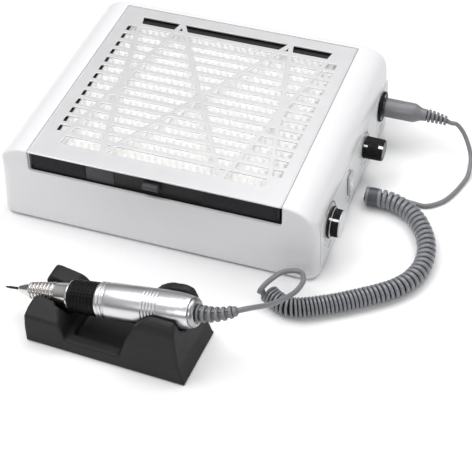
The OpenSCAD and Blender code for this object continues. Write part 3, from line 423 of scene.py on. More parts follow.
def boolean(ob, tool, operation="DIFFERENCE"):
    """Applies the tool object to ob and removes it."""
    modifier = ob.modifiers.new("cut", "BOOLEAN")
    modifier.object = tool
    modifier.operation = operation
    modifier.solver = "EXACT"
    bpy.context.view_layer.update()
    apply_modifiers(ob)
    bpy.data.objects.remove(tool)


def round_edges(ob, width, segments=3, limit=50, shade_angle=50):
    """Rounds edges sharper than limit degrees by width millimetres."""
    modifier = ob.modifiers.new("b", "BEVEL")
    modifier.width = width / 1000
    modifier.segments = segments
    modifier.limit_method = "ANGLE"
    modifier.angle_limit = math.radians(limit)
    apply_modifiers(ob)
    shade(ob, shade_angle)


def only_material(ob, mat):
    ob.data.materials.clear()
    ob.data.materials.append(M[mat])


def box_mesh(low, high):
    (x0, y0, z0), (x1, y1, z1) = low, high
    verts = [(x, y, z) for z in (z0, z1) for x, y in rectangle(x0, y0, x1, y1)]
    faces = [(0, 3, 2, 1), (4, 5, 6, 7), (0, 1, 5, 4), (1, 2, 6, 5), (2, 3, 7, 6), (3, 0, 4, 7)]
    return verts, faces


def box(name, low, high, mat=None):
    return mesh_object(name, *box_mesh(low, high), mat, recalc=False)


def rounded_box(name, low, high, radius, mat):
    ob = box(name, low, high, mat)
    round_edges(ob, radius, limit=30)
    return ob


def prism_mesh(outline, axis, start, end):
    """A closed outline, in the two other axes in X, Y, Z order, drawn out along axis."""
    place = {"x": lambda p, h: (h, p[0], p[1]),
             "y": lambda p, h: (p[0], h, p[1]),
             "z": lambda p, h: (p[0], p[1], h)}[axis]
    n = len(outline)
    verts = [place(p, start) for p in outline] + [place(p, end) for p in outline]
    faces = [tuple(range(n)), tuple(range(2 * n - 1, n - 1, -1))]
    faces += [(i, i + n, (i + 1) % n + n, (i + 1) % n) for i in range(n)]
    return verts, faces


def prism(name, outline, axis, start, end, mat=None, angle=35):
    return mesh_object(name, *prism_mesh(outline, axis, start, end), mat, angle)


def soften(points, radius, steps=3, closed=False):
    """Rounds the corners of a polyline by up to radius, one value or one per point."""
    n = len(points)
    out = []
    pts = [np.array(p, float) for p in points]
    for i in range(n):
        if not closed and i in (0, n - 1):
            out.append(tuple(pts[i]))
            continue
        before, corner, after = pts[i - 1], pts[i], pts[(i + 1) % n]
        len_before = np.linalg.norm(before - corner)
        len_after = np.linalg.norm(after - corner)
        if len_before < 1e-6 or len_after < 1e-6:
            continue
        wanted = radius[i] if isinstance(radius, list) else radius
        trim = min(wanted, 0.45 * len_before, 0.45 * len_after)
        if trim < 1e-4:
            out.append(tuple(corner))
            continue
        start = corner + (before - corner) / len_before * trim
        end = corner + (after - corner) / len_after * trim
        for k in range(steps + 1):
            u = k / steps
            out.append(tuple((1 - u) ** 2 * start + 2 * u * (1 - u) * corner + u * u * end))
    return out


def rectangle(a0, b0, a1, b1):
    return [(a0, b0), (a1, b0), (a1, b1), (a0, b1)]


def soft_rectangle(a0, b0, a1, b1, radius, steps):
    return soften(rectangle(a0, b0, a1, b1), radius, steps, closed=True)


def around(centre, half_a, half_b):
    """Rectangle limits round a centre."""
    a, b = centre
    return a - half_a, b - half_b, a + half_a, b + half_b


def refine(profile, step=0.6):
    """Splits the profile's segments to about step."""
    out = [profile[0]]
    for a, b in zip(profile, profile[1:]):
        n = max(1, int(math.hypot(b[0] - a[0], b[1] - a[1]) / step))
        for k in range(1, n + 1):
            out.append((a[0] + (b[0] - a[0]) * k / n, a[1] + (b[1] - a[1]) * k / n))
    return out


def tube_faces(rings, sides):
    """Quads between consecutive rings of a tube, and its two end caps."""
    faces = []
    for i in range(rings - 1):
        for j in range(sides):
            k = (j + 1) % sides
            faces.append((i * sides + j, (i + 1) * sides + j, (i + 1) * sides + k, i * sides + k))
    faces.append(tuple(range(sides)))
    faces.append(tuple(range(rings * sides - 1, (rings - 1) * sides - 1, -1)))
    return faces


def axis_frame(direction, up=(0, 0, 1)):
    """Unit axis, the part of up square to it, and their cross product."""
    axis = np.array(direction, float)
    axis /= np.linalg.norm(axis)
    upward = np.array(up, float)
    upward = upward - axis * (upward @ axis)
    upward /= np.linalg.norm(upward)
    return axis, upward, np.cross(axis, upward)


def lathe(name, profile, origin, direction, mat, segs=96, up=(0, 0, 1), warp=None, closed=False,
          angle=30, bend=None):
    """Turns a profile of (distance along axis, radius). Angle 0 points along up.

    warp(angle, distance, radius) returns a changed radius and distance;
    bend(point, distance) moves the finished point.
    """
    axis, upward, sideways = axis_frame(direction, up)
    origin = np.array(origin, float)
    verts, rings = [], []
    for s, r in profile:
        if r < 1e-5:
            point = origin + axis * s
            if bend is not None:
                point = bend(point, s)
            rings.append([len(verts)])
            verts.append(point)
            continue
        ring = []
        for k in range(segs):
            a = 2 * math.pi * k / segs
            radius, along = (r, s) if warp is None else warp(a, s, r)
            point = (origin + axis * along
                     + radius * (math.cos(a) * upward + math.sin(a) * sideways))
            if bend is not None:
                point = bend(point, along)
            ring.append(len(verts))
            verts.append(point)
        rings.append(ring)
    faces = []
    pairs = list(zip(rings, rings[1:]))
    if closed:
        pairs.append((rings[-1], rings[0]))
    for a, b in pairs:
        if len(a) == 1 and len(b) == 1:
            continue
        for k in range(segs):
            q = (k + 1) % segs
            if len(a) == 1:
                faces.append((a[0], b[k], b[q]))
            elif len(b) == 1:
                faces.append((a[k], b[0], a[q]))
            else:
                faces.append((a[k], b[k], b[q], a[q]))
    if not closed:
        faces += [tuple(ring) for ring in (rings[0], rings[-1]) if len(ring) > 1]
    return mesh_object(name, verts, faces, mat, angle)


def lathe_x(name, profile, x, centre, mat, segs, **options):
    """A turned part whose axis points along +X from x, through centre (y, z)."""
    return lathe(name, profile, (x, *centre), (1, 0, 0), mat, segs, **options)


def path_distance(points):
    return np.r_[0, np.cumsum(np.linalg.norm(np.diff(points, axis=0), axis=1))]


def sample(at, distance, values):
    """Rows of values interpolated at the given distances."""
    return np.stack([np.interp(at, distance, values[:, k]) for k in range(3)], 1)


def spline(controls, step=1.0):
    """Centripetal Catmull-Rom through the points, resampled at an even spacing."""
    ctrl = [np.array(p, float) for p in controls]
    ctrl = [2 * ctrl[0] - ctrl[1]] + ctrl + [2 * ctrl[-1] - ctrl[-2]]
    pts = []
    for i in range(1, len(ctrl) - 2):
        p0, p1, p2, p3 = ctrl[i - 1:i + 3]
        t = [0.0]
        for a, b in ((p0, p1), (p1, p2), (p2, p3)):
            t.append(t[-1] + max(np.linalg.norm(b - a), 1e-6) ** 0.5)
        for k in range(24):
            u = t[1] + (t[2] - t[1]) * k / 24
            a1 = (t[1] - u) / (t[1] - t[0]) * p0 + (u - t[0]) / (t[1] - t[0]) * p1
            a2 = (t[2] - u) / (t[2] - t[1]) * p1 + (u - t[1]) / (t[2] - t[1]) * p2
            a3 = (t[3] - u) / (t[3] - t[2]) * p2 + (u - t[2]) / (t[3] - t[2]) * p3
            b1 = (t[2] - u) / (t[2] - t[0]) * a1 + (u - t[0]) / (t[2] - t[0]) * a2
            b2 = (t[3] - u) / (t[3] - t[1]) * a2 + (u - t[1]) / (t[3] - t[1]) * a3
            pts.append((t[2] - u) / (t[2] - t[1]) * b1 + (u - t[1]) / (t[2] - t[1]) * b2)
    pts.append(ctrl[-2])
    pts = np.array(pts)
    distance = path_distance(pts)
    n = max(8, int(round(distance[-1] / step)))
    return sample(np.linspace(0, distance[-1], n + 1), distance, pts)


def transport(path, first_normal):
    """Tangents, normals carried along the path without twist, and binormals."""
    tangents = np.gradient(path, axis=0)
    tangents /= np.linalg.norm(tangents, axis=1)[:, None]
    normal = np.array(first_normal, float)
    normals = []
    for t in tangents:
        normal = normal - t * (normal @ t)
        normal /= np.linalg.norm(normal)
        normals.append(normal.copy())
    normals = np.array(normals)
    return tangents, normals, np.cross(tangents, normals)


# how far each ring of a rounded end lies from the tip, as a share of the radius
END_RINGS = (0.0, 0.35, 0.7, 0.92)


def rounded_end(point, outward, radius):
    """(centre, radius) of the end's rings, from the tip inward."""
    return [(point + outward * radius * (1 - k) * 0.7,
             radius * math.sqrt(max(0.02, 1 - (1 - k) ** 2))) for k in END_RINGS]


def sweep(name, path, radius, mat, sides=16, round_ends=True, first_normal=(0, 0, 1), angle=50):
    """A round tube along the path; radius is one value or one per point."""
    path = np.asarray(path, float)
    radii = np.zeros(len(path)) + radius
    tangents, normals, binormals = transport(path, first_normal)
    if round_ends:
        head = rounded_end(path[0], -tangents[0], radii[0])
        tail = rounded_end(path[-1], tangents[-1], radii[-1])[::-1]
        path = np.array([p for p, _ in head] + list(path) + [p for p, _ in tail])
        radii = np.array([r for _, r in head] + list(radii) + [r for _, r in tail])
        extra = len(END_RINGS)
        normals, binormals = [np.array([v[0]] * extra + list(v) + [v[-1]] * extra)
                              for v in (normals, binormals)]
    a = np.arange(sides) / sides * 2 * math.pi
    verts = path[:, None] + radii[:, None, None] * (
        np.cos(a)[None, :, None] * normals[:, None] + np.sin(a)[None, :, None] * binormals[:, None])
    return mesh_object(name, verts.reshape(-1, 3), tube_faces(len(path), sides), mat, angle)


def attach(ob, body, slot, *replaced):
    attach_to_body(ob, body)
    if replaced:
        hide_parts(*replaced)


def smoothstep(x):
    x = min(1.0, max(0.0, x))
    return x * x * (3 - 2 * x)


# ---------------------------------------------------------------- housing dimensions
SHOULDER_X, SHOULDER_Z = 109.0, 50.0            # centre of the superellipse shoulder
SHOULDER_REACH, SHOULDER_RISE = 28.0, 23.6      # its half axes
SHOULDER_POWER = 2.2
WALL_LEAN = 1.9                                 # how far a side wall leans in up to the shoulder
HALF_WIDTH = SHOULDER_X + SHOULDER_REACH + WALL_LEAN
DEPTH = 230.0
HEIGHT = SHOULDER_Z + SHOULDER_RISE
SHELL_BOTTOM = 2.5
WALL = 2.6
FRONT_RADII = (2.2, 11)                         # upright corner radius at the top, at the walls
REAR_RADII = (5.5, 16)

BAY_HALF_WIDTH = 109.25                         # the filter bay
BAY_REAR = 221.4
BAY_RIM = 2.2
BAY_NOTCH_Z, BAY_NOTCH_RADIUS = 57.0, 3.5

# centres (y, z) of the fittings on the +X side
SUCTION = (37.3, 35.2)
SPEED = (142.0, 31.4)
ROCKER = (94.5, 30.0)
SOCKET = (197.6, 34.0)


# ---------------------------------------------------------------- housing shell
def section_stations(bottom, groove):
    """Half section from the bottom edge to the middle of the top.

    Wall stations hold z and the groove's depth, arc stations degrees, top stations x.
    """
    depth = 0.42 if groove else 0
    chamfer = (0.9, 0.25) if groove else (0, 0)
    groove_z = (7.42, 7.98) if groove else (7.5, 7.9)
    walls = [(bottom, chamfer[0]), (bottom + 0.45, chamfer[1]), (bottom + 1.0, 0), (5.0, 0),
             (7.3, 0), (groove_z[0], depth), (groove_z[1], depth), (8.1, 0)]
    walls += [(z, 0) for z in (14, 20, 26, 32, 38, 44, 48)]
    return ([("wall", z, d) for z, d in walls] + [("arc", 90.0 * i / 40, 0) for i in range(41)]
            + [("top", x, 0) for x in (104, 90, 60, 30, 0)])


def section_point(station, inset):
    kind, value, groove = station
    if kind == "wall":
        lean = (WALL_LEAN * (max(value, SHELL_BOTTOM) - SHELL_BOTTOM)
                / (SHOULDER_Z - SHELL_BOTTOM))
        return HALF_WIDTH - lean - inset - groove, value
    if kind == "arc":
        a = math.radians(value)
        power = 2 / SHOULDER_POWER
        return (SHOULDER_X + (SHOULDER_REACH - inset) * max(0, math.cos(a)) ** power,
                SHOULDER_Z + (SHOULDER_RISE - inset) * max(0, math.sin(a)) ** power)
    return value, HEIGHT - inset


def shell_solid(name, inset, bottom, groove):
    stations = section_stations(bottom, groove)

    def corner_radii(top, wall):
        """Corner radius at each station, blending over the arc."""
        share = {"wall": lambda v: 1.0, "arc": lambda v: smoothstep(1 - v / 42.0),
                 "top": lambda v: 0.0}
        return [max(0.5, top + (wall - top) * share[kind](v) - inset) for kind, v, _ in stations]

    rings = []

    def add_ring(insets, ys):
        pts = [section_point(station, inset + w) for station, w in zip(stations, insets)]
        right = [(p[0], y, p[1]) for p, y in zip(pts, ys)]
        rings.append(right + [(-x, y, z) for x, y, z in right[::-1][1:]])

    front, rear = corner_radii(*FRONT_RADII), corner_radii(*REAR_RADII)
    y_front, y_rear = inset, DEPTH - inset
    steps = 9
    for k in range(steps + 1):
        t = math.pi / 2 * k / steps
        add_ring([r * (1 - math.sin(t)) for r in front],
                 [y_front + r * (1 - math.cos(t)) for r in front])
    for y in (16, 60, 115, 170, 210):
        add_ring([0] * len(stations), [y] * len(stations))
    for k in range(steps, -1, -1):
        t = math.pi / 2 * k / steps
        add_ring([r * (1 - math.sin(t)) for r in rear],
                 [y_rear - r * (1 - math.cos(t)) for r in rear])
    verts = [p for ring in rings for p in ring]
    return mesh_object(name, verts, tube_faces(len(rings), len(rings[0])), "white_shell", 30)


def arc_points(cx, cy, radius, start, end, steps):
    angles = [math.radians(start + (end - start) * i / steps) for i in range(steps + 1)]
    return [(cx + radius * math.cos(a), cy + radius * math.sin(a)) for a in angles]


def cut_bay(shell):
    """Opens the filter bay and frames it with walls and side ledges."""
    bay = soft_rectangle(-BAY_HALF_WIDTH, WALL, BAY_HALF_WIDTH, BAY_REAR, 1.2, 4)
    boolean(shell, prism("bay", bay, "z", 40, 90))
    outside = rectangle(-BAY_HALF_WIDTH - BAY_RIM, WALL - 0.4, BAY_HALF_WIDTH + BAY_RIM,
                        BAY_REAR + BAY_RIM)
    bay_wall = prism("bay_wall", outside, "z", 49.5, 72.0)
    boolean(bay_wall, prism("bay2", bay, "z", 45, 80))
    boolean(shell, bay_wall, "UNION")
    for side in (-1, 1):
        x0, x1 = sorted((side * 106.5, side * (BAY_HALF_WIDTH + 0.6)))
        ledge = prism("ledge", soft_rectangle(x0, 10, x1, 214, 0.5, 2), "z", 66, 72.05)
        boolean(shell, ledge, "UNION")
        # magnet recesses in the ledge
        x0, x1 = sorted((side * 106.9, side * 109))
        for y in (20, 170):
            boolean(shell, box("mag", (x0, y - 0.1, 68.4), (x1, y + 24.1, 80)))
    # the front wall is open above the bay's floor notch
    x, r = BAY_HALF_WIDTH, BAY_NOTCH_RADIUS
    notch = ([(x, 90), (-x, 90)] + arc_points(-x + r, BAY_NOTCH_Z, r, 180, 270, 8)
             + arc_points(x - r, BAY_NOTCH_Z, r, 270, 360, 8))
    boolean(shell, prism("gap", notch, "y", -6, WALL + 0.05))


def build_shell():
    shell = shell_solid("housing_shell", 0.0, SHELL_BOTTOM, True)
    boolean(shell, shell_solid("inner", WALL, -1.0, False))
    cut_bay(shell)
    # openings in the +X wall
    x0, x1 = 128, 146
    for centre, radius in ((SUCTION, 3.7), (SPEED, 3.7), (SOCKET, 10.0)):
        cylinder = [(0, 0), (0, radius), (x1 - x0, radius), (x1 - x0, 0)]
        boolean(shell, lathe_x("hole", cylinder, x0, centre, None, 64))
    y0, z0, y1, z1 = around(ROCKER, 5.9, 8.9)
    boolean(shell, box("hole", (x0, y0, z0), (x1, y1, z1)))
    # openings in the rear wall
    boolean(shell, prism("hole", soft_rectangle(48, 9, 92, 43, 2, 4), "y", 218, 240))
    boolean(shell, box("hole", (-112.7, 218, 12.8), (-87.3, 240, 31.2)))
    shade(shell, 28)
    weighted = shell.modifiers.new("wn", "WEIGHTED_NORMAL")
    weighted.keep_sharp = True
    weighted.weight = 60
    attach(shell, "housing", "white_shell", "top_shell")


build_shell()


# ---------------------------------------------------------------- cover plate
def cad_loops(node, z_flat):
    """Outline loops of the upward flat face of a CAD piece at height z_flat."""
    mesh = NODES[node].data
    coords = np.array([v.co for v in mesh.vertices]) * 1000 - OFFSET
    index_of = {}
    index = [index_of.setdefault(tuple(round(c, 3) for c in p), len(index_of)) for p in coords]
    points = list(index_of)
    # an edge met in both directions lies inside the face
    edges = {}
    for poly in mesh.polygons:
        ids = [index[i] for i in poly.vertices]
        if all(abs(points[v][2] - z_flat) < 0.02 for v in ids) and poly.normal.z > 0.5:
            for a, b in zip(ids, ids[1:] + ids[:1]):
                if a == b:
                    continue
                if (b, a) in edges:
                    del edges[(b, a)]
                else:
                    edges[(a, b)] = True
    following = {}
    for a, b in edges:
        following.setdefault(a, []).append(b)
    loops = []
    while following:
        loop = [next(iter(following))]
        while True:
            b = following[loop[-1]].pop()
            if not following[loop[-1]]:
                del following[loop[-1]]
            if b == loop[0]:
                break
            loop.append(b)
        loops.append([points[v][:2] for v in loop])
    return loops


def drop_straight(loop):
    """Drops points that lie on a straight line."""
    pts = [np.array(p) for p in loop]
    keep = []
    for i, p in enumerate(pts):
        u, v = p - pts[i - 1], pts[(i + 1) % len(pts)] - p
        limit = 1e-3 * max(1e-6, np.linalg.norm(u) * np.linalg.norm(v))
        if abs(u[0] * v[1] - u[1] * v[0]) > limit:
            keep.append(tuple(p))
    return keep


def double_area(loop):
    """Twice the signed area, positive when anticlockwise."""
    return sum(a[0] * b[1] - b[0] * a[1] for a, b in zip(loop, loop[1:] + loop[:1]))


def shifted(loop, distance):
    """The loop moved towards its left-hand side, corners mitred."""
    pts = np.array(loop, float)
    along = np.roll(pts, -1, 0) - pts
    along /= np.linalg.norm(along, axis=1)[:, None]
    left = np.stack([-along[:, 1], along[:, 0]], 1)
    left_before = np.roll(left, 1, 0)
    mitre = left + left_before
    k = 1 / np.maximum(0.35, 1 + (left * left_before).sum(1))
    return pts + distance * mitre * k[:, None]


def drop_close(loop, tolerance):
    """Drops points closer than tolerance to the one before."""
    def gap(p, q):
        return math.hypot(p[0] - q[0], p[1] - q[1])

    out = []
    for p in loop:
        if not out or gap(p, out[-1]) > tolerance:
            out.append(p)
    while len(out) > 3 and gap(out[0], out[-1]) <= tolerance:
        out.pop()
    return out


def slab(name, loops, z_low, z_high, bevel, mat):
    """Flat part with holes and rounded edges. loops[0] is the outline, the rest are holes."""
    loops = [l[::-1] if (double_area(l) > 0) != (i == 0) else l for i, l in enumerate(loops)]
    k = 1 - math.sqrt(0.5)
    # (inset, z) of each level of the edge
    levels = [(bevel, z_low), (k * bevel, z_low + k * bevel), (0, z_low + bevel),
              (0, z_high - bevel), (k * bevel, z_high - k * bevel), (bevel, z_high)]
    total = sum(len(l) for l in loops)
    starts = [sum(len(l) for l in loops[:i]) for i in range(len(loops))]
    verts, faces = [], []
    for inset, z in levels:
        for loop in loops:
            verts += [(x, y, z) for x, y in shifted(loop, inset)]
    for level in range(len(levels) - 1):
        for loop, start in zip(loops, starts):
            for j in range(len(loop)):
                a = level * total + start + j
                b = level * total + start + (j + 1) % len(loop)
                faces.append((a, b, b + total, a + total))
    flat = [Vector(v[:2]) for v in verts[:total]]
    edges = [(start + j, start + (j + 1) % len(loop))
             for loop, start in zip(loops, starts) for j in range(len(loop))]
    result = delaunay_2d_cdt(flat, edges, [], 0, 1e-7)
    triangles, originals = result[2], result[3]
    # triangles whose centre is inside by the even-odd rule cover the top and the underside
    from_pts = np.array([[flat[a][0], flat[a][1]] for a, _ in edges])
    to_pts = np.array([[flat[b][0], flat[b][1]] for _, b in edges])
    top = (len(levels) - 1) * total
    for triangle in triangles:
        ids = [originals[i][0] if originals[i] else None for i in triangle]
        if any(i is None for i in ids):
            continue
        cx = sum(flat[i][0] for i in ids) / 3
        cy = sum(flat[i][1] for i in ids) / 3
        crosses = (from_pts[:, 1] > cy) != (to_pts[:, 1] > cy)
        rise = np.where(to_pts[:, 1] == from_pts[:, 1], 1e-12, to_pts[:, 1] - from_pts[:, 1])
        cross_x = from_pts[:, 0] + (cy - from_pts[:, 1]) * (to_pts[:, 0] - from_pts[:, 0]) / rise
        if int((crosses & (cross_x > cx)).sum()) % 2:
            faces.append(tuple(i + top for i in ids))
            faces.append(tuple(ids[::-1]))
    return mesh_object(name, verts, faces, mat, 14)


def convex_radii(loop, radius):
    """The radius at corners that are convex for the loop, zero at the others."""
    sign = 1 if double_area(loop) > 0 else -1
    out = []
    for j, p in enumerate(loop):
        a, b = loop[j - 1], loop[(j + 1) % len(loop)]
        turn = (p[0] - a[0]) * (b[1] - p[1]) - (p[1] - a[1]) * (b[0] - p[0])
        out.append(radius if turn * sign > 0 else 0.0)
    return out


def build_plate():
    low, high = node_box("cover_plate")
    loops = [drop_close(drop_straight(l), 0.4) for l in cad_loops("cover_plate", high[2])]
    loops = [l for l in loops if len(l) >= 3 and abs(double_area(l)) > 1.5]
    loops.sort(key=lambda l: -abs(double_area(l)))
    loops = [soften(l, convex_radii(l, 1.6 if i == 0 else 0.8), 3, closed=True)
             for i, l in enumerate(loops)]
    plate = slab("cover_plate_metal", loops, low[2], high[2], 0.26, "plate_metal")
    attach(plate, "cover", "plate_metal", "cover_plate")
    # folded side rims
    section = soft_rectangle(-0.75, 72.5, 0.75, 73.95, 0.55, 4)
    for side, label in ((-1, "left"), (1, "right")):
        rim = prism("plate_rim_" + label, [(side * 108.05 + x, z) for x, z in section], "y",
                    0.5, 220.2, "plate_metal", 50)
        attach(rim, "cover", "plate_metal")


build_plate()

# ---------------------------------------------------------------- filter
PLEAT_PITCH, PLEAT_STEPS = 6.0, 12
PLEAT_FOOT, PLEAT_DEPTH = 57.0, 10.4
PLEAT_TOP = PLEAT_FOOT + PLEAT_DEPTH
PAPER = 0.5                                     # thickness


def build_pleats():
    low, high = node_box("filter_media")
    pleats = int(round((high[0] - low[0]) / PLEAT_PITCH))
    section = []
    for i in range(pleats * PLEAT_STEPS + 1):
        phase = (i % PLEAT_STEPS) / PLEAT_STEPS
        rise = 1 - abs(2 * phase - 1)           # 0 at the folds below, 1 on top
        z = PLEAT_TOP - PLEAT_DEPTH * (1 - rise) ** 2.3
        z -= 0.5 * math.exp(-((phase - 0.5) / 0.09) ** 2)
        section.append((low[0] + i * PLEAT_PITCH / PLEAT_STEPS, z))
    rows = 40
    y0, y1 = low[1] + 0.5, high[1] - 0.5
    wobble = np.random.RandomState(4).uniform(-1, 1, (pleats + 2, 6))
    verts, faces = [], []
    for drop in (-PAPER, 0.0):
        for j in range(rows + 1):
            y = y0 + (y1 - y0) * j / rows
            for i, (x, z) in enumerate(section):
                w = wobble[i // PLEAT_STEPS]
                top = (z - PLEAT_FOOT) / PLEAT_DEPTH
                dx = 0.5 * top * (math.sin(y * 0.045 + w[0] * 3) * w[1]
                                  + 0.5 * math.sin(y * 0.13 + w[2] * 3) * w[3])
                dz = 0.3 * top * math.sin(y * 0.06 + w[4] * 3)
                verts.append((min(high[0] - 0.1, max(low[0] + 0.1, x + dx)), y, z + dz + drop))
    width = len(section)
    layer = (rows + 1) * width
    for j in range(rows):
        for i in range(width - 1):
            a, b = j * width + i, j * width + i + 1
            c, d = b + width, a + width
            faces.append((a, d, c, b))
            faces.append((a + layer, b + layer, c + layer, d + layer))
    last = rows * width
    for i in range(width - 1):
        faces.append((i, i + 1, i + 1 + layer, i + layer))
        k = last + i
        faces.append((k + 1, k, k + layer, k + 1 + layer))
    for j in range(rows):
        a, b = j * width, (j + 1) * width
        faces.append((b, a, a + layer, b + layer))
        a, b = a + width - 1, b + width - 1
        faces.append((a, b, b + layer, a + layer))
    media = mesh_object("filter_pleats", verts, faces, "filter_paper", 60)
    attach(media, "filter", "filter_paper", "filter_media")


def build_pads_and_tab():
    # x from, x to, material of the pads along the filter's front
    pads = ((-105.4, -59.3, "foam"), (-58.7, -34.2, "tab_grey"), (42.1, 103.4, "foam"))
    for i, (x0, x1, mat) in enumerate(pads):
        pad = rounded_box("front_pad_%d" % (i + 1), (x0, 3.38, 55.1), (x1, 3.97, 69.7), 0.25, mat)
        attach(pad, "filter", "foam", "filter_pads")
    # (y, z) side view of the pull tab
    outline = [(3.9, 59.5), (3.9, 67.4), (0.6, 67.2), (-1.6, 66.2), (-2.5, 64.6), (-2.4, 62.8),
               (-1.4, 61.6), (0.8, 60.6)]
    tab = prism("filter_tab", soften(outline, 0.8, 4, closed=True), "x", -7.9, 5.5, "tab_grey", 40)
    round_edges(tab, 0.7, shade_angle=40)
    attach(tab, "filter", "tab_grey", "filter_pull_tab")


build_pleats()
build_pads_and_tab()

# ---------------------------------------------------------------- feet
FOOT_PROFILE = [(0, 0), (0, 5.2), (0.5, 5.6), (0.5, 6.2), (0, 6.5), (0.6, 6.95), (2.9, 6.95),
                (2.95, 0)]
for i, (x, y) in enumerate((x, y) for y in (13, 213) for x in (-124, 124)):
    foot = lathe("foot_%d" % (i + 1), soften(FOOT_PROFILE, 0.3, 3), (x, y, 0.02), (0, 0, 1),
                 "black_rubber", 48, up=(1, 0, 0))
    attach(foot, "housing", "black_rubber", "rubber_feet")

# ---------------------------------------------------------------- knobs
KNOB_X = 139.1                                  # rear face of both knobs


def build_knob(name, centre, profile, flutes, depth, flutes_from, flutes_to):
    """A knob with flutes cut round its grip between two distances along the axis."""
    def flute(a, s, r):
        if flutes_from < s < flutes_to and r > 7.5:
            fade = smoothstep((s - flutes_from) / 0.8) * smoothstep((flutes_to - s) / 0.8)
            return r - depth * fade * (0.5 - 0.5 * math.cos(a * flutes)) ** 1.5, s
        return r, s

    ob = lathe_x(name + "_knob_black", refine(soften(profile, 0.3, 3)), KNOB_X, centre,
                 "knob_black", 144, warp=flute, angle=40)
    attach(ob, name + "_control", "knob_black", name + "_knob")


def build_pointer(name, control, centre, path, width, angle, lift=0.1):
    """A painted line following the knob's surface along path (distance, radius).

    angle turns it in degrees from 12 o'clock towards the front.
    """
    a = math.radians(angle)
    outward = np.array((0.0, -math.sin(a), math.cos(a)))
    across = np.array((0.0, math.cos(a), math.sin(a)))
    path = [np.array(p, float) for p in path]
    origin = np.array((KNOB_X, *centre))
    verts, faces = [], []
    for i, p in enumerate(path):
        t = path[min(i + 1, len(path) - 1)] - path[max(i - 1, 0)]
        t /= np.linalg.norm(t)
        normal = np.array((-t[1], t[0]))
        for q in (p + normal * lift, p - normal * 0.3):
            for w in (-width / 2, width / 2):
                verts.append(origin + np.array((q[0], 0, 0)) + outward * q[1] + across * w)
    for i in range(len(path) - 1):
        a, b = 4 * i, 4 * (i + 1)
        faces += [(a, b, b + 1, a + 1), (a + 3, b + 3, b + 2, a + 2), (a + 2, b + 2, b, a),
                  (a + 1, b + 1, b + 3, a + 3)]
    end = 4 * (len(path) - 1)
    faces += [(0, 1, 3, 2), (end + 1, end, end + 2, end + 3)]
    attach(mesh_object(name, verts, faces, "pointer_white", 40), control, "cap_silver")


# profiles hold (distance along the axis, radius)
SUCTION_KNOB = [(2.4, 3.05), (2.4, 7.0), (0.05, 7.0), (0.0, 13.1), (0.45, 13.55), (1.3, 13.55),
                (2.05, 12.85), (2.25, 12.1), (2.7, 11.65), (7.5, 11.45), (8.05, 11.0),
                (8.05, 3.05)]
SKIRT_RING = [(1.5, 13.2), (2.12, 12.9), (2.32, 12.2), (2.2, 11.95), (1.6, 12.0)]
SUCTION_CAP = [(0, 0), (0, 10.95), (0.35, 11.35), (0.9, 11.35), (1.38, 10.85), (1.38, 7.0),
               (1.12, 6.3), (1.1, 0)]
SPEED_KNOB = [(2.4, 3.05), (2.4, 6.9), (0.05, 6.9), (0, 9.55), (0.4, 9.95), (1.1, 9.95),
              (1.75, 9.65), (15.6, 9.4), (16.45, 8.8), (16.45, 7.45), (15.25, 7.42),
              (15.2, 3.05)]
SPEED_CAP = [(0, 0), (0, 7.3), (0.95, 7.3), (1.2, 6.9), (1.15, 4.0), (1.05, 0)]


def build_knobs():
    build_knob("suction", SUCTION, SUCTION_KNOB, flutes=36, depth=0.55, flutes_from=2.8,
               flutes_to=7.9)
    ring = lathe_x("suction_skirt_ring", soften(SKIRT_RING, 0.12, 2, closed=True), KNOB_X,
                   SUCTION, "cap_silver", 96, closed=True)
    attach(ring, "suction_control", "cap_silver")
    cap = lathe_x("suction_cap", soften(SUCTION_CAP, 0.22, 3), 147.25, SUCTION, "cap_silver", 112)
    attach(cap, "suction_control", "cap_silver", "suction_knob_cap")
    build_knob("speed", SPEED, SPEED_KNOB, flutes=30, depth=0.4, flutes_from=2.0, flutes_to=15.6)
    cap = lathe_x("speed_cap", soften(SPEED_CAP, 0.25, 3), 154.35, SPEED, "cap_dark", 96)
    attach(cap, "speed_control", "cap_silver", "speed_knob_cap")
    build_pointer("suction_pointer_skirt", "suction_control", SUCTION,
                  [(0.5, 13.5), (1.3, 13.5), (2.05, 12.9), (2.3, 12.2), (2.75, 11.75)],
                  width=1.7, angle=38)
    build_pointer("suction_pointer_grip", "suction_control", SUCTION,
                  [(2.9, 11.6), (7.5, 11.42), (8.0, 11.2)], width=1.9, angle=38)
    build_pointer("speed_pointer_base", "speed_control", SPEED,
                  [(0.08, 9.55), (0.4, 9.88), (1.1, 9.9), (1.8, 9.66), (3.4, 9.6)],
                  width=1.7, angle=45)
    build_pointer("speed_pointer_rim", "speed_control", SPEED,
                  [(12.6, 9.46), (15.5, 9.38), (16.3, 8.9), (16.45, 8.0)], width=2.4, angle=38)


build_knobs()


# ---------------------------------------------------------------- direction switch
def build_switch_body():
    ob = prism("switch_body", soft_rectangle(*around(ROCKER, 5.7, 8.7), 0.6, 3), "x",
               124, 139.0, "rocker_frame")
    flange = soft_rectangle(*around(ROCKER, 6.6, 9.7), 1.6, 5)
    opening = soft_rectangle(*around(ROCKER, 5.05, 7.9), 0.7, 3)
    boolean(ob, prism("flange", flange, "x", 138.75, 139.95), "UNION")
    boolean(ob, prism("opening", opening, "x", 130, 145))
    round_edges(ob, 0.28, segments=2, limit=60, shade_angle=40)
    only_material(ob, "rocker_frame")
    attach(ob, "housing", "rocker_frame", "direction_switch")


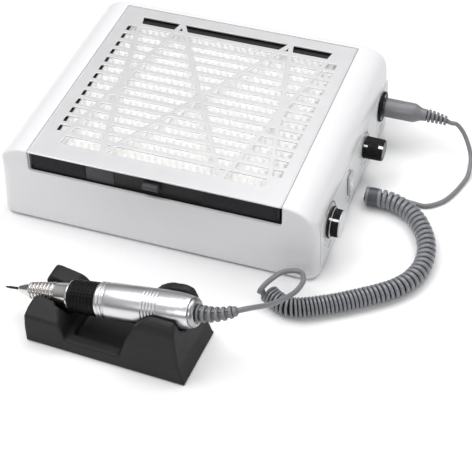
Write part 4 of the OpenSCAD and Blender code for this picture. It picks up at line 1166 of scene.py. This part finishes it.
def build_rocker():
    """The rocker, with a hollow face, tipped about Y."""
    x_pivot, (y, z) = 136.6, ROCKER
    tip = math.radians(8)
    half_face = 6.2
    # (x, z) from the pivot
    face = [(4.35 - 0.75 * (1 - (k / half_face) ** 2), k)
            for k in np.linspace(-half_face, half_face, 13)]
    outline = soften([(0.4, -7.4), (3.0, -7.1)] + face + [(3.0, 7.1), (0.4, 7.4)], 0.5, 2,
                     closed=True)
    outline = [(a * math.cos(tip) - b * math.sin(tip), a * math.sin(tip) + b * math.cos(tip))
               for a, b in outline]
    # (y offset, inset) across the rocker
    slices = [(-4.85, 0.5), (-4.6, 0.14), (-4.2, 0.0), (4.2, 0.0), (4.6, 0.14), (4.85, 0.5)]
    verts = []
    for dy, inset in slices:
        k = 1 - inset / 7.5
        verts += [(x_pivot + (a - 2) * k + 2, y + dy, z + b * k) for a, b in outline]
    ob = mesh_object("rocker_cap", verts, tube_faces(len(slices), len(outline)), "rocker_grey", 45)
    attach(ob, "direction_control", "rocker_grey", "direction_rocker")


build_switch_body()
build_rocker()

# ---------------------------------------------------------------- round socket
SOCKET_X = 138.7
FLANGE_PROFILE = [(0, 6.7), (0, 13.7), (1.3, 13.7), (2.25, 12.9), (2.4, 10.2), (2.1, 9.6),
                  (2.1, 7.3), (1.7, 6.7)]
BARREL_PROFILE = [(-16.6, 0), (-16.6, 9.75), (-0.02, 9.75), (-0.02, 6.68), (-10.6, 6.68),
                  (-10.6, 5.68), (-0.8, 5.68), (-0.75, 0)]
SCREW_PROFILE = [(0, 0), (0, 1.3), (0.5, 1.2), (0.62, 0)]
SCREW_CIRCLE = 11.6


def build_socket():
    flange = lathe_x("socket_flange", soften(FLANGE_PROFILE, 0.3, 3), SOCKET_X, SOCKET,
                     "knob_black", 96, closed=True)
    attach(flange, "housing", "knob_black", "handpiece_socket")
    tube = lathe_x("socket_barrel", soften(BARREL_PROFILE, 0.2, 2), SOCKET_X, SOCKET,
                   "knob_black", 72)
    attach(tube, "housing", "knob_black", "handpiece_socket")
    for k in range(3):
        a = math.radians(90 + 120 * k)
        centre = (SOCKET[0] + SCREW_CIRCLE * math.cos(a), SOCKET[1] + SCREW_CIRCLE * math.sin(a))
        screw = lathe_x("socket_screw_%d" % (k + 1), soften(SCREW_PROFILE, 0.15, 2),
                        SOCKET_X + 2.0, centre, "zinc_screws", 20)
        attach(screw, "housing", "zinc_screws")


build_socket()

# ---------------------------------------------------------------- plug
PLUG_X = 141.9
PLUG_PROFILE = [(0.0, 6.66), (0.0, 7.9), (0.6, 8.45), (6.5, 8.5), (25.6, 8.45), (27.4, 8.0),
                (31.0, 6.2), (32.8, 5.5), (37.2, 5.25), (37.9, 4.6), (37.9, 0)]


def droop(point, s):
    """The ribbed end of the plug sags a little."""
    past = max(0.0, s - 36.0)
    point = np.array(point, float)
    point[2] -= 0.0048 * past * past
    return point


def build_plug():
    profile = [(0.9, 0), (0.9, 6.66)] + soften(PLUG_PROFILE, 0.9, 4)
    body = lathe_x("plug_shell", refine(profile, 1.6), PLUG_X, SOCKET, "cord_grey", 72, bend=droop)
    attach(body, "plug", "cord_grey", "plug_body")
    relief = [(37.6, 0), (37.6, 3.3)]
    for i in range(5):
        x, r = 38.7 + i * 3.6, 5.85 - i * 0.36
        relief += [(x - 0.1, r - 2.5), (x, r - 0.2), (x + 0.4, r), (x + 1.7, r - 0.08),
                   (x + 1.95, r - 0.3), (x + 2.05, r - 2.5)]
    relief += [(56.0, 2.35), (56.4, 2.2), (56.4, 0)]
    ribs = lathe_x("plug_relief", soften(relief, 0.3, 3), PLUG_X, SOCKET, "cord_grey", 64,
                   bend=droop)
    attach(ribs, "plug", "cord_grey", "plug_body")
    y, z = SOCKET
    ridge = rounded_box("plug_key_ridge", (146, y - 0.9, z + 8.15), (158, y + 0.9, z + 8.85),
                        0.35, "cord_grey")
    attach(ridge, "plug", "cord_grey")


build_plug()

# ---------------------------------------------------------------- coiled cord
COIL_RADIUS = 8.2
# (x, y) of the coil's axis on the table, from the plug's end to the handpiece's
COIL_WAY = [(149.7, 106.9), (171.4, 106.7), (191.0, 97.8), (206.7, 78.7), (214.9, 57.4),
            (215.2, 32.9), (204.8, 10.4), (171.5, -17.3), (150.8, -30.3), (136.5, -37.3),
            (127.3, -39.3), (117.1, -35.9), (108.7, -30.5)]
# pitch of the turns at shares of the length: they open up on the bend and stay packed
# near the handpiece end
PITCH_AT = [0, 0.15, 0.35, 0.5, 0.6, 0.7, 0.85, 1.0]
PITCHES = [4.9, 5.3, 5.9, 5.0, 4.1, 3.4, 3.05, 3.05]
WIRE_HALF_HEIGHT = 1.75                         # across the coil
WIRE_SIDES = 20
STEPS_PER_TURN = 28

coil_axis = spline([(x, y, COIL_RADIUS + 0.2) for x, y in COIL_WAY], 0.5)
coil_distance = path_distance(coil_axis)


def build_turns():
    """The coiled wire. Returns the centre line of the wire."""
    _, normals, binormals = transport(coil_axis, (0, 0, 1))
    distance = coil_distance
    pitch = np.interp(distance / distance[-1], PITCH_AT, PITCHES)
    mean_rate = 0.5 * (1 / pitch[1:] + 1 / pitch[:-1])
    phase = np.r_[0, np.cumsum(mean_rate * np.diff(distance))] * 2 * math.pi
    turns = phase[-1] / (2 * math.pi)
    phase = phase * (round(turns) + 0.25) / turns
    count = int(phase[-1] / (2 * math.pi) * STEPS_PER_TURN)
    turn = np.linspace(0, phase[-1], count)
    at = np.interp(turn, phase, distance)
    centre, normal, binormal = [sample(at, distance, v) for v in (coil_axis, normals, binormals)]
    # half width along the coil: the jacket flattens a little where it opens up
    half_width = np.minimum(2.2, np.interp(at, distance, pitch) * 0.41)
    radius = COIL_RADIUS - WIRE_HALF_HEIGHT - 0.05 + 0.10 * np.sin(turn * 0.37) * np.sin(turn * 0.11)
    start = math.radians(200)
    radial = np.cos(turn + start)[:, None] * normal + np.sin(turn + start)[:, None] * binormal
    helix = centre + radius[:, None] * radial
    helix[:, 2] = np.maximum(helix[:, 2], WIRE_HALF_HEIGHT + 0.1)
    tangent = np.gradient(helix, axis=0)
    tangent /= np.linalg.norm(tangent, axis=1)[:, None]
    outward = radial - tangent * (radial * tangent).sum(1)[:, None]
    outward /= np.linalg.norm(outward, axis=1)[:, None]
    sideways = np.cross(tangent, outward)
    lines = []
    for k in range(WIRE_SIDES):
        a = 2 * math.pi * k / WIRE_SIDES
        # shallow seam along the outside of the jacket
        seam = 0.16 * math.exp(-((a - math.pi / 2) / 0.26) ** 2)
        lines.append(helix + outward * (WIRE_HALF_HEIGHT * (math.sin(a) - seam))
                     + sideways * (half_width * math.cos(a))[:, None])
    verts = np.stack(lines, 1).reshape(-1, 3)
    coil = mesh_object("coiled_cord_turns", verts, tube_faces(count, WIRE_SIDES), "coil_grey", 60)
    attach(coil, "housing", "coil_grey", "coiled_cord")
    return helix


def build_coil_shade_tube_and_cuff():
    # painted shade: a dark tube inside the coil stands for the shade inside the turns, seen only
    # through the gaps between them
    shade_tube = sweep("coil_painted_shade", coil_axis[::4], 4.75, "coil_painted_shade", 28, round_ends=False)
    attach(shade_tube, "housing", "coil_grey")
    # smooth cuff over the first turns, where the straight lead goes in
    rings = 22
    u = np.linspace(0, 1, rings)
    radius = 8.12 - 0.35 * u ** 3
    radius = np.where(u < 0.3, radius * (1 - 0.30 * (1 - u / 0.3) ** 2.4), radius)
    radius = radius * np.where(u > 0.93, 0.965, 1.0)
    path = coil_axis[np.searchsorted(coil_distance, np.linspace(0.6, 12.5, rings))]
    cuff = sweep("coil_cuff", path, radius, "coil_cuff", 48, round_ends=False, angle=45)
    round_edges(cuff, 0.9)
    attach(cuff, "housing", "coil_grey")


helix = build_turns()
build_coil_shade_tube_and_cuff()

# ---------------------------------------------------------------- handpiece axis
HAND_ORIGIN = np.array((10.0, -103.0, 37.3))
HAND_AXIS, HAND_UP, HAND_SIDE = axis_frame((0.98160127, -0.04457425, 0.18566662))
BOOT_PITCH, BOOT_RIBS = 5.1, 5
BOOT_START, BOOT_STEP = 60.0, 0.25
BOOT_BEND_FROM, BOOT_BEND_TO = 74.0, 94.4
BOOT_TURN, BOOT_LIFT = 5.0, 2.0                 # degrees per rib, to the rear and upwards

boot_stations = np.arange(BOOT_START, 101.01, BOOT_STEP)


def boot_frame_list():
    """Centre and axes at each station of the bent strain relief."""
    frames = []
    centre = HAND_ORIGIN + HAND_AXIS * BOOT_START
    axis, up, side = HAND_AXIS.copy(), HAND_UP.copy(), HAND_SIDE.copy()
    share = BOOT_STEP / BOOT_PITCH
    for s in boot_stations:
        frames.append((centre, axis, up, side))
        if BOOT_BEND_FROM <= s < BOOT_BEND_TO:
            turn = np.array(Matrix.Rotation(math.radians(BOOT_TURN * share), 3, Vector(up))
                            @ Matrix.Rotation(math.radians(BOOT_LIFT * share), 3, Vector(side)))
            axis, up, side = turn @ axis, turn @ up, turn @ side
        centre = centre + axis * BOOT_STEP
    return frames


boot_frames = boot_frame_list()


def boot_bend(point, s):
    if s <= BOOT_START:
        return point
    i = min(len(boot_stations) - 1, int(round((s - BOOT_START) / BOOT_STEP)))
    centre, axis, up, side = boot_frames[i]
    off = np.asarray(point) - (HAND_ORIGIN + HAND_AXIS * s)
    return (centre + axis * (s - boot_stations[i]) + up * (off @ HAND_UP)
            + side * (off @ HAND_SIDE))


# ---------------------------------------------------------------- straight leads
def build_lead(name, way, radius, replaced, first_normal=(0, 0, 1)):
    """A lead from a body to the housing, swept along a spline through the way points."""
    ob = sweep(name, spline(way), radius, "cord_grey", first_normal=first_normal)
    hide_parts(replaced)
    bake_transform(ob)


# from the plug's ribbed end down to the table, round behind the coil and into its first turn
PLUG_LEAD_S = 55.6
plug_end = droop((PLUG_X + PLUG_LEAD_S, *SOCKET), PLUG_LEAD_S)
build_lead(
    "plug_cord",
    [plug_end, plug_end + np.array([3.6, 0.4, -1.6]), (205.6, 199.4, 29.4), (211.4, 197.7, 25.2),
     (217.1, 194.0, 18.4), (223.6, 184.1, 9.2), (225.7, 166.2, 3.3), (223.4, 154.6, 2.0),
     (219.2, 140.5, 1.95), (213.4, 128.1, 1.95), (205.5, 120.1, 1.95), (198.9, 116.6, 1.95),
     (188, 117.2, 1.95), (172, 118.2, 1.95), (160, 117.6, 1.95), (152.5, 115.4, 2.2),
     (149.6, 111.6, 4.5), (151.2, 108.4, 6.5)],
    1.9, "plug_lead")

# off the handpiece's strain relief, through one loose loop, into the coil's last turn
HAND_LEAD_S = 99.6
boot_end = boot_bend(HAND_ORIGIN + HAND_AXIS * HAND_LEAD_S, HAND_LEAD_S)
boot_end_axis = boot_frames[-1][1]
coil_end = helix[-1]
coil_end_axis = helix[-1] - helix[-4]
coil_end_axis /= np.linalg.norm(coil_end_axis)
build_lead(
    "handpiece_cord",
    [boot_end, boot_end + boot_end_axis * 5.0, (115.6, -94.4, 56.4), (124.0, -78.6, 47.0),
     (128.2, -66.9, 41.0), (132.7, -52.2, 34.5), (135.4, -38.7, 30.0), (135.5, -26.2, 27.5),
     (132.0, -18.0, 26.0), (127.0, -15.7, 25.2), (121.6, -16.8, 24.8), (115.6, -20.1, 24.0),
     (109.9, -28.1, 22.6), (106.0, -34.0, 20.0), (103.4, -38.2, 16.0),
     coil_end + coil_end_axis * 4, coil_end + coil_end_axis * 0.8],
    2.1, "handpiece_lead",
    first_normal=(0, 1, 0.4))


# ---------------------------------------------------------------- handpiece
# All profiles hold (distance along the handpiece's axis, radius); the bit points to -X.
def hand_part(name, profile, mat, body, replaced, segs=96, soft=0.25, **options):
    profile = soften(profile, soft, 3, options.get("closed", False))
    ob = lathe(name, profile, HAND_ORIGIN, HAND_AXIS, mat, segs, angle=32, **options)
    attach(ob, body, mat, replaced)


def build_barrel():
    """Main barrel with a ringed waist and a rounded rear."""
    profile = [(-12.6, 9.6), (-12.6, 13.7), (-12.0, 14.25), (-10.0, 14.25), (-9.7, 13.75),
               (-9.1, 13.75), (-8.8, 14.25), (-6.8, 14.25), (-6.4, 13.1), (-5.0, 13.1),
               (-4.6, 14.0), (-3.9, 14.42), (3.4, 14.46), (27.6, 14.46)]
    for i in range(5):
        s = 28.0 + i * 2.7
        profile += [(s, 13.85), (s + 0.9, 13.85), (s + 1.2, 14.43), (s + 2.35, 14.43)]
    profile += [(42, 14.4), (50, 14.2), (57, 13.6), (62, 12.7), (65.1, 11.85), (65.4, 11.4),
                (65.4, 9.75), (54.5, 9.75), (54.5, 11.32), (-4.1, 11.32), (-4.1, 9.6)]
    hand_part("handpiece_barrel", profile, "hand_aluminium", "handpiece", "handpiece_body",
              segs=128, soft=0.3, closed=True)


def build_nose():
    """Ringed cone at the front, with its bore."""
    profile = [(-86, 1.72), (-86, 2.3), (-85.2, 2.9), (-76.2, 6.05)]
    for i in range(7):
        s, r = -75.0 + i * 3.3, 6.45 + i * 0.40
        profile += [(s, r + 0.1), (s + 0.35, r + 0.3), (s + 1.7, r + 0.35), (s + 2.05, r + 0.1),
                    (s + 2.25, r - 0.6), (s + 3.05, r - 0.55)]
    profile += [(-51.2, 9.0), (-50.6, 9.35), (-39.6, 10.35), (-38.9, 11.9), (-38.5, 12.3),
                (-37.2, 12.3), (-37.05, 10.4), (-12.9, 10.38), (-12.7, 9.4), (-6.7, 9.4),
                (-6.6, 6.06), (-61.9, 6.06), (-61.9, 3.97), (-78.6, 3.97), (-83.3, 2.62),
                (-84, 1.72)]
    hand_part("handpiece_nose_cone", profile, "hand_chrome", "handpiece", "handpiece_nose",
              soft=0.22, closed=True)


def build_sleeve():
    profile = [(-36.8, 10.48), (-36.8, 12.8), (-36.35, 13.2), (-35.5, 13.26)]
    for i in range(7):
        s = -35.2 + i * 3.0
        profile += [(s, 13.3), (s + 1.6, 13.34), (s + 1.95, 12.65), (s + 2.7, 12.65)]
    profile += [(-13.9, 13.36), (-13.3, 13.28), (-12.9, 12.9), (-12.82, 10.48)]

    def flute(a, s, r):
        """Lengthwise flutes break the ribs up into pads."""
        if r > 12.5 and -35.8 < s < -13.6:
            return r - 0.22 * (0.5 + 0.5 * math.cos(a * 30)) ** 2, s
        return r, s

    hand_part("lock_sleeve_grip", profile, "sleeve_rubber", "sleeve", "lock_sleeve", segs=180,
              soft=0.2, warp=flute, closed=True)


def build_rear_ring():
    profile = [(59.5, 5.06), (59.5, 9.55), (65.62, 9.55), (65.66, 11.55), (66.3, 11.72),
               (67.6, 11.35), (68.9, 10.3), (69.5, 9.0), (69.4, 8.1), (68.6, 7.4), (68.6, 5.06)]
    hand_part("handpiece_rear_ring", profile, "hand_rear_grey", "handpiece",
              "handpiece_rear_cap", soft=0.3, closed=True)


def build_boot():
    """Ribbed strain relief."""
    ribs_from, first_radius, taper = 71.4, 6.6, 0.42
    profile = [(64.6, 0), (64.6, 6.5), (66.2, 6.5), (66.2, 5.0), (69.7, 5.0), (69.8, 6.95),
               (70.9, 7.1), (71.5, 6.7), (71.7, 4.3)]
    for i in range(BOOT_RIBS):
        s, r = ribs_from + i * BOOT_PITCH, first_radius - i * taper
        slot = r - 2.5 + 0.1 * i
        profile += [(s + ds, slot) for ds in (0.35, 1.0, 1.6, 2.1)]
        profile += [(s + 2.25, r - 0.35), (s + 2.6, r), (s + 3.5, r), (s + 4.4, r - 0.12),
                    (s + 4.75, r - 0.5), (s + 4.85, slot)]
    profile += [(97.0, 3.5), (97.3, 4.0), (98.5, 3.95), (99.6, 3.75), (100.2, 3.3), (100.3, 0)]

    def web(a, s, r):
        """The slots stop at a web above and below."""
        t = s - ribs_from
        i = int(t // BOOT_PITCH) if t > 0 else -1
        if 0 <= i < BOOT_RIBS and r > 0.5:
            top = first_radius - i * taper
            if r < top - 1.5 and t - BOOT_PITCH * i < 4.8:
                w = min(1.0, max(0.0, (abs(math.cos(a)) - 0.86) / 0.06))
                return r + (top - 0.9 - r) * w, s
        return r, s

    hand_part("handpiece_boot", profile, "cord_grey", "handpiece", "handpiece_strain_relief",
              warp=web, bend=boot_bend)


def build_bit():
    profile = [(-98.9, 0), (-98.7, 0.45), (-97.5, 0.75), (-96, 0.9), (-95.6, 1.12),
               (-68.2, 1.17), (-68.2, 0)]

    def flute(a, s, r):
        """Four spiral flutes at the tip."""
        if s < -88 and r > 0.3:
            return r * (1 - 0.16 * (0.5 + 0.5 * math.cos(4 * a + s * 2.2))), s
        return r, s

    hand_part("bit_burr", refine(profile, 0.35), "dark_steel", "hand_spindle", "bit", segs=40,
              soft=0.1, warp=flute)


build_barrel()
build_nose()
build_sleeve()
build_rear_ring()
build_boot()
build_bit()

# ---------------------------------------------------------------- rest for the handpiece
REST_CENTRE = np.array((9.6, -103.4, 0.0))
REST_TURN = -math.radians(2.6)
# outlines in the rest's own axes: (x, z) seen from the front, (y, z) of the -X and +X halves
REST_SIDE = [(-65.3, 0.3), (68.6, 0.3), (67.4, 3.2), (63.7, 14), (60.5, 33), (58.1, 47),
             (55.5, 52.2), (50.2, 54.0), (39.5, 51.9), (33, 48.2), (29, 44.7), (24.5, 38.8),
             (19, 27.8), (14.8, 12.3), (12, 11.1), (-29, 11.1), (-31.6, 12.2), (-34.6, 22),
             (-37.5, 26.2), (-41.5, 29.9), (-50, 31.8), (-56, 33.1), (-60.4, 33.7),
             (-62.8, 32.6), (-64.9, 28.8), (-65.9, 21), (-65.9, 12)]
REST_LEFT = [(-29.8, 0.3), (29.8, 0.3), (29.0, 12), (27.3, 24), (25.6, 32), (24.4, 40), (-9, 40),
             (-10, 34.2), (-12, 33.0), (-27.4, 25.7), (-28.1, 24.3), (-29.1, 12)]
REST_RIGHT = [(-29.8, 0.3), (29.8, 0.3), (29.0, 12), (26.8, 28), (24.3, 44), (22.3, 56),
              (16, 56), (-18.8, 50.2), (-22.2, 47.2), (-24.3, 41.8), (-26.8, 28), (-29.0, 12)]
# channels for the handpiece along the tilted axis: from, to, radius
REST_CHANNELS = ((-14, 80, 15.0), (-47, -12, 13.9), (-100, -44, 10.4))
REST_TILT = math.radians(10.7)
CHANNEL_ORIGIN = np.array((0, 0.4, 37.3))


def own_axes(points):
    """Takes off the offset that metres() adds, so the rest is built about its own origin."""
    return np.asarray(points, float) - OFFSET


def rest_mesh(name, verts, faces):
    return mesh_object(name, own_axes(verts), faces, "cradle_rubber")


def cut_channel(ob, start, end, radius):
    """A round channel with a slot that widens upwards."""
    axis = np.array((math.cos(REST_TILT), 0, math.sin(REST_TILT)))
    profile = [(start, 0), (start, radius), (end, radius), (end, 0)]
    boolean(ob, lathe("channel", profile, own_axes(CHANNEL_ORIGIN), axis, "cradle_rubber", 48))
    up = np.cross(axis, (0, 1.0, 0))
    verts = [CHANNEL_ORIGIN + axis * s + np.array((0, y * widen, 0)) + up * h
             for s in (start, end) for y in (-radius, radius) for h, widen in ((0, 1), (60, 1.35))]
    faces = [(0, 1, 3, 2), (4, 6, 7, 5), (0, 4, 5, 1), (2, 3, 7, 6), (0, 2, 6, 4), (1, 5, 7, 3)]
    boolean(ob, rest_mesh("slot", verts, faces))


def build_rest():
    ob = rest_mesh("handpiece_rest", *prism_mesh(REST_SIDE, "y", -31, 31))
    ends = rest_mesh("left", *prism_mesh(REST_LEFT, "x", -70, 0.05))
    boolean(ends, rest_mesh("right", *prism_mesh(REST_RIGHT, "x", 0, 72)), "UNION")
    boolean(ob, ends, "INTERSECT")
    for channel in REST_CHANNELS:
        cut_channel(ob, *channel)
    boolean(ob, rest_mesh("well", *box_mesh((-28, -19.5, 6), (13, 19.5, 60))))
    remesh = ob.modifiers.new("r", "REMESH")
    remesh.mode = "VOXEL"
    remesh.voxel_size = 0.0011
    smooth = ob.modifiers.new("s", "SMOOTH")
    smooth.factor = 0.5
    smooth.iterations = 5
    apply_modifiers(ob)
    ob.data.transform(Matrix.Translation(Vector(metres(REST_CENTRE)))
                      @ Matrix.Rotation(REST_TURN, 4, "Z"))
    # the underside stays flat on the table
    coords = np.zeros(len(ob.data.vertices) * 3)
    ob.data.vertices.foreach_get("co", coords)
    coords = coords.reshape(-1, 3)
    coords[:, 2] = np.where(coords[:, 2] < 0.0009, 0.00005, coords[:, 2])
    ob.data.vertices.foreach_set("co", coords.ravel())
    ob.data.update()
    only_material(ob, "cradle_rubber")
    ob.data.shade_smooth()
    attach(ob, "housing", "cradle_rubber", "cradle")


build_rest()

# ---------------------------------------------------------------- printed marks on the +X side
PANEL_FOOT_Z = 3
PANEL_LEAN = math.atan(WALL_LEAN / (SHOULDER_Z - PANEL_FOOT_Z))
MARK_LIFT, MARK_THICKNESS, MARK_SINK = 0.36, 0.06, 0.05


def panel_point(y, z, lift):
    """A point at a distance off the leaning side wall."""
    x = (HALF_WIDTH - math.tan(PANEL_LEAN) * (z - PANEL_FOOT_Z) + lift / math.cos(PANEL_LEAN))
    return x, y, z


def flat_mark(name, outline, mat):
    """A thin mark with a (y, z) outline."""
    n = len(outline)
    verts = [panel_point(y, z, lift)
             for lift in (MARK_LIFT + MARK_THICKNESS, MARK_LIFT - MARK_SINK) for y, z in outline]
    faces = [tuple(range(n)), tuple(range(2 * n - 1, n - 1, -1))]
    faces += [(i, (i + 1) % n, (i + 1) % n + n, i + n) for i in range(n)]
    attach(mesh_object(name, verts, faces, mat, 30), "housing", "panel_film")


def dial_point(centre, radius, a):
    """A point at angle a from 12 o'clock, towards the rear."""
    return centre[0] + radius * math.sin(a), centre[1] + radius * math.cos(a)


def dial_arc(name, centre, inner, outer):
    """An arc round a knob that widens towards its far end."""
    steps = 48
    outside, inside = [], []
    for i in range(steps + 1):
        u = i / steps
        a = math.radians(-135 + 270 * u)
        outside.append(dial_point(centre, inner + (outer - inner) * u, a))
        inside.append(dial_point(centre, inner * 0.985, a))
    flat_mark(name, outside + inside[::-1], "print_grey")


def build_marks():
    # dial, centre, inner and outer radius of its arc
    dials = (("suction", SUCTION, 16.0, 18.2), ("speed", SPEED, 12.2, 14.2))
    for name, centre, inner, outer in dials:
        dial_arc(name + "_dial_arc", centre, inner, outer)
    for name, centre, _, outer in dials:
        for i in range(7):
            y, z = dial_point(centre, outer + 1.0, math.radians(-135 + 45 * i))
            if 10.2 < z < 46.6:
                dot = [(y + 0.55 * math.cos(t), z + 0.55 * math.sin(t))
                       for t in np.linspace(0, 2 * math.pi, 12, endpoint=False)]
                flat_mark("%s_dot_%d" % (name, i + 1), dot, "print_dark")
    for name, y in (("suction", 36.5), ("rocker", ROCKER[0]), ("speed", 147.0),
                    ("socket", 197.5)):
        bar = soft_rectangle(y - 5, 11.2, y + 5, 11.2 + 1.4, 0.6, 4)
        flat_mark(name + "_label_mark", bar, "print_grey")
    # arrows above and below the rocker
    y = ROCKER[0]
    for name, z, way in (("up", 42.2, 1), ("down", 16.8, -1)):
        arrow = [(y - 2.4, z), (y + 2.4, z), (y, z + 2.4 * way)]
        flat_mark("rocker_arrow_" + name, arrow, "print_dark")


build_marks()


# ---------------------------------------------------------------- stage, lights, world, camera
def build_floor():
    material, _, shader = new_material("floor")
    shader.inputs["Base Color"].default_value = (0.93, 0.93, 0.935, 1)
    shader.inputs["Roughness"].default_value = 0.6
    shader.inputs["Specular IOR Level"].default_value = 0.3
    half, z = 6, -0.0002
    mesh = bpy.data.meshes.new("floor")
    mesh.from_pydata([(x, y, z) for x, y in rectangle(-half, -half, half, half)], [],
                     [(0, 1, 2, 3)])
    floor = bpy.data.objects.new("floor", mesh)
    mesh.materials.append(material)
    COLLECTION.objects.link(floor)


def area_light(name, location, target, size, size_y, energy):
    """A rectangular light aimed at target; metres and watts."""
    light = bpy.data.lights.new(name, "AREA")
    light.shape = "RECTANGLE"
    light.size = size
    light.size_y = size_y
    light.energy = energy
    ob = bpy.data.objects.new(name, light)
    COLLECTION.objects.link(ob)
    ob.location = location
    direction = Vector(target) - Vector(location)
    ob.rotation_euler = direction.to_track_quat("-Z", "Y").to_euler()


def build_world():
    """A soft sky, dark at the horizon and white overhead."""
    world = bpy.data.worlds.new("studio")
    bpy.context.scene.world = world
    world.use_nodes = True
    tree = world.node_tree
    tree.nodes.clear()
    output = tree.nodes.new("ShaderNodeOutputWorld")
    background = tree.nodes.new("ShaderNodeBackground")
    coords = tree.nodes.new("ShaderNodeTexCoord")
    separate = tree.nodes.new("ShaderNodeSeparateXYZ")
    tree.links.new(coords.outputs["Generated"], separate.inputs[0])
    sky = tree.nodes.new("ShaderNodeValToRGB")
    stops = sky.color_ramp.elements
    stops[0].position, stops[0].color = 0.0, (0.16, 0.16, 0.17, 1)
    stops[1].position, stops[1].color = 1.0, (1.0, 1.0, 1.0, 1)
    for position, grey in ((0.16, 0.24), (0.34, 0.52), (0.6, 0.86)):
        stop = stops.new(position)
        stop.color = (grey, grey, grey * 1.01, 1)
    tree.links.new(separate.outputs["Z"], sky.inputs[0])
    tree.links.new(sky.outputs[0], background.inputs[0])
    background.inputs["Strength"].default_value = 0.62
    tree.links.new(background.outputs[0], output.inputs[0])


def build_camera():
    data = bpy.data.cameras.new("camera")
    camera = bpy.data.objects.new("camera", data)
    COLLECTION.objects.link(camera)
    right = Vector((0.94494848, 0.32699712, -0.0120521))
    up = Vector((-0.21366075, 0.64449036, 0.73415343))
    backward = Vector((0.24783352, -0.69116211, 0.67887664))
    position = Vector(metres((361.39859, -810.11927, 832.60877)))
    rotation = Matrix((right, up, backward)).transposed().to_4x4()
    camera.matrix_world = Matrix.Translation(position) @ rotation
    data.sensor_width = 36
    data.lens = 111.888305
    data.clip_start = 0.05
    data.clip_end = 30
    scene = bpy.context.scene
    scene.camera = camera
    scene.view_settings.view_transform = "Standard"
    scene.view_settings.look = "None"
    scene.view_settings.exposure = 0.0


build_floor()
area_light("key", (-0.55, -0.15, 1.35), (0, 0, 0.03), size=0.9, size_y=0.8, energy=9.8)
area_light("top", (0.25, 0.55, 1.35), (0, 0, 0.03), size=1.0, size_y=0.9, energy=8.5)
area_light("right", (1.3, -0.25, 0.6), (0.05, 0, 0.03), size=0.7, size_y=0.5, energy=2.6)
area_light("front", (-0.1, -1.35, 0.75), (0, 0, 0.04), size=0.8, size_y=0.4, energy=3.0)
build_world()
build_camera()
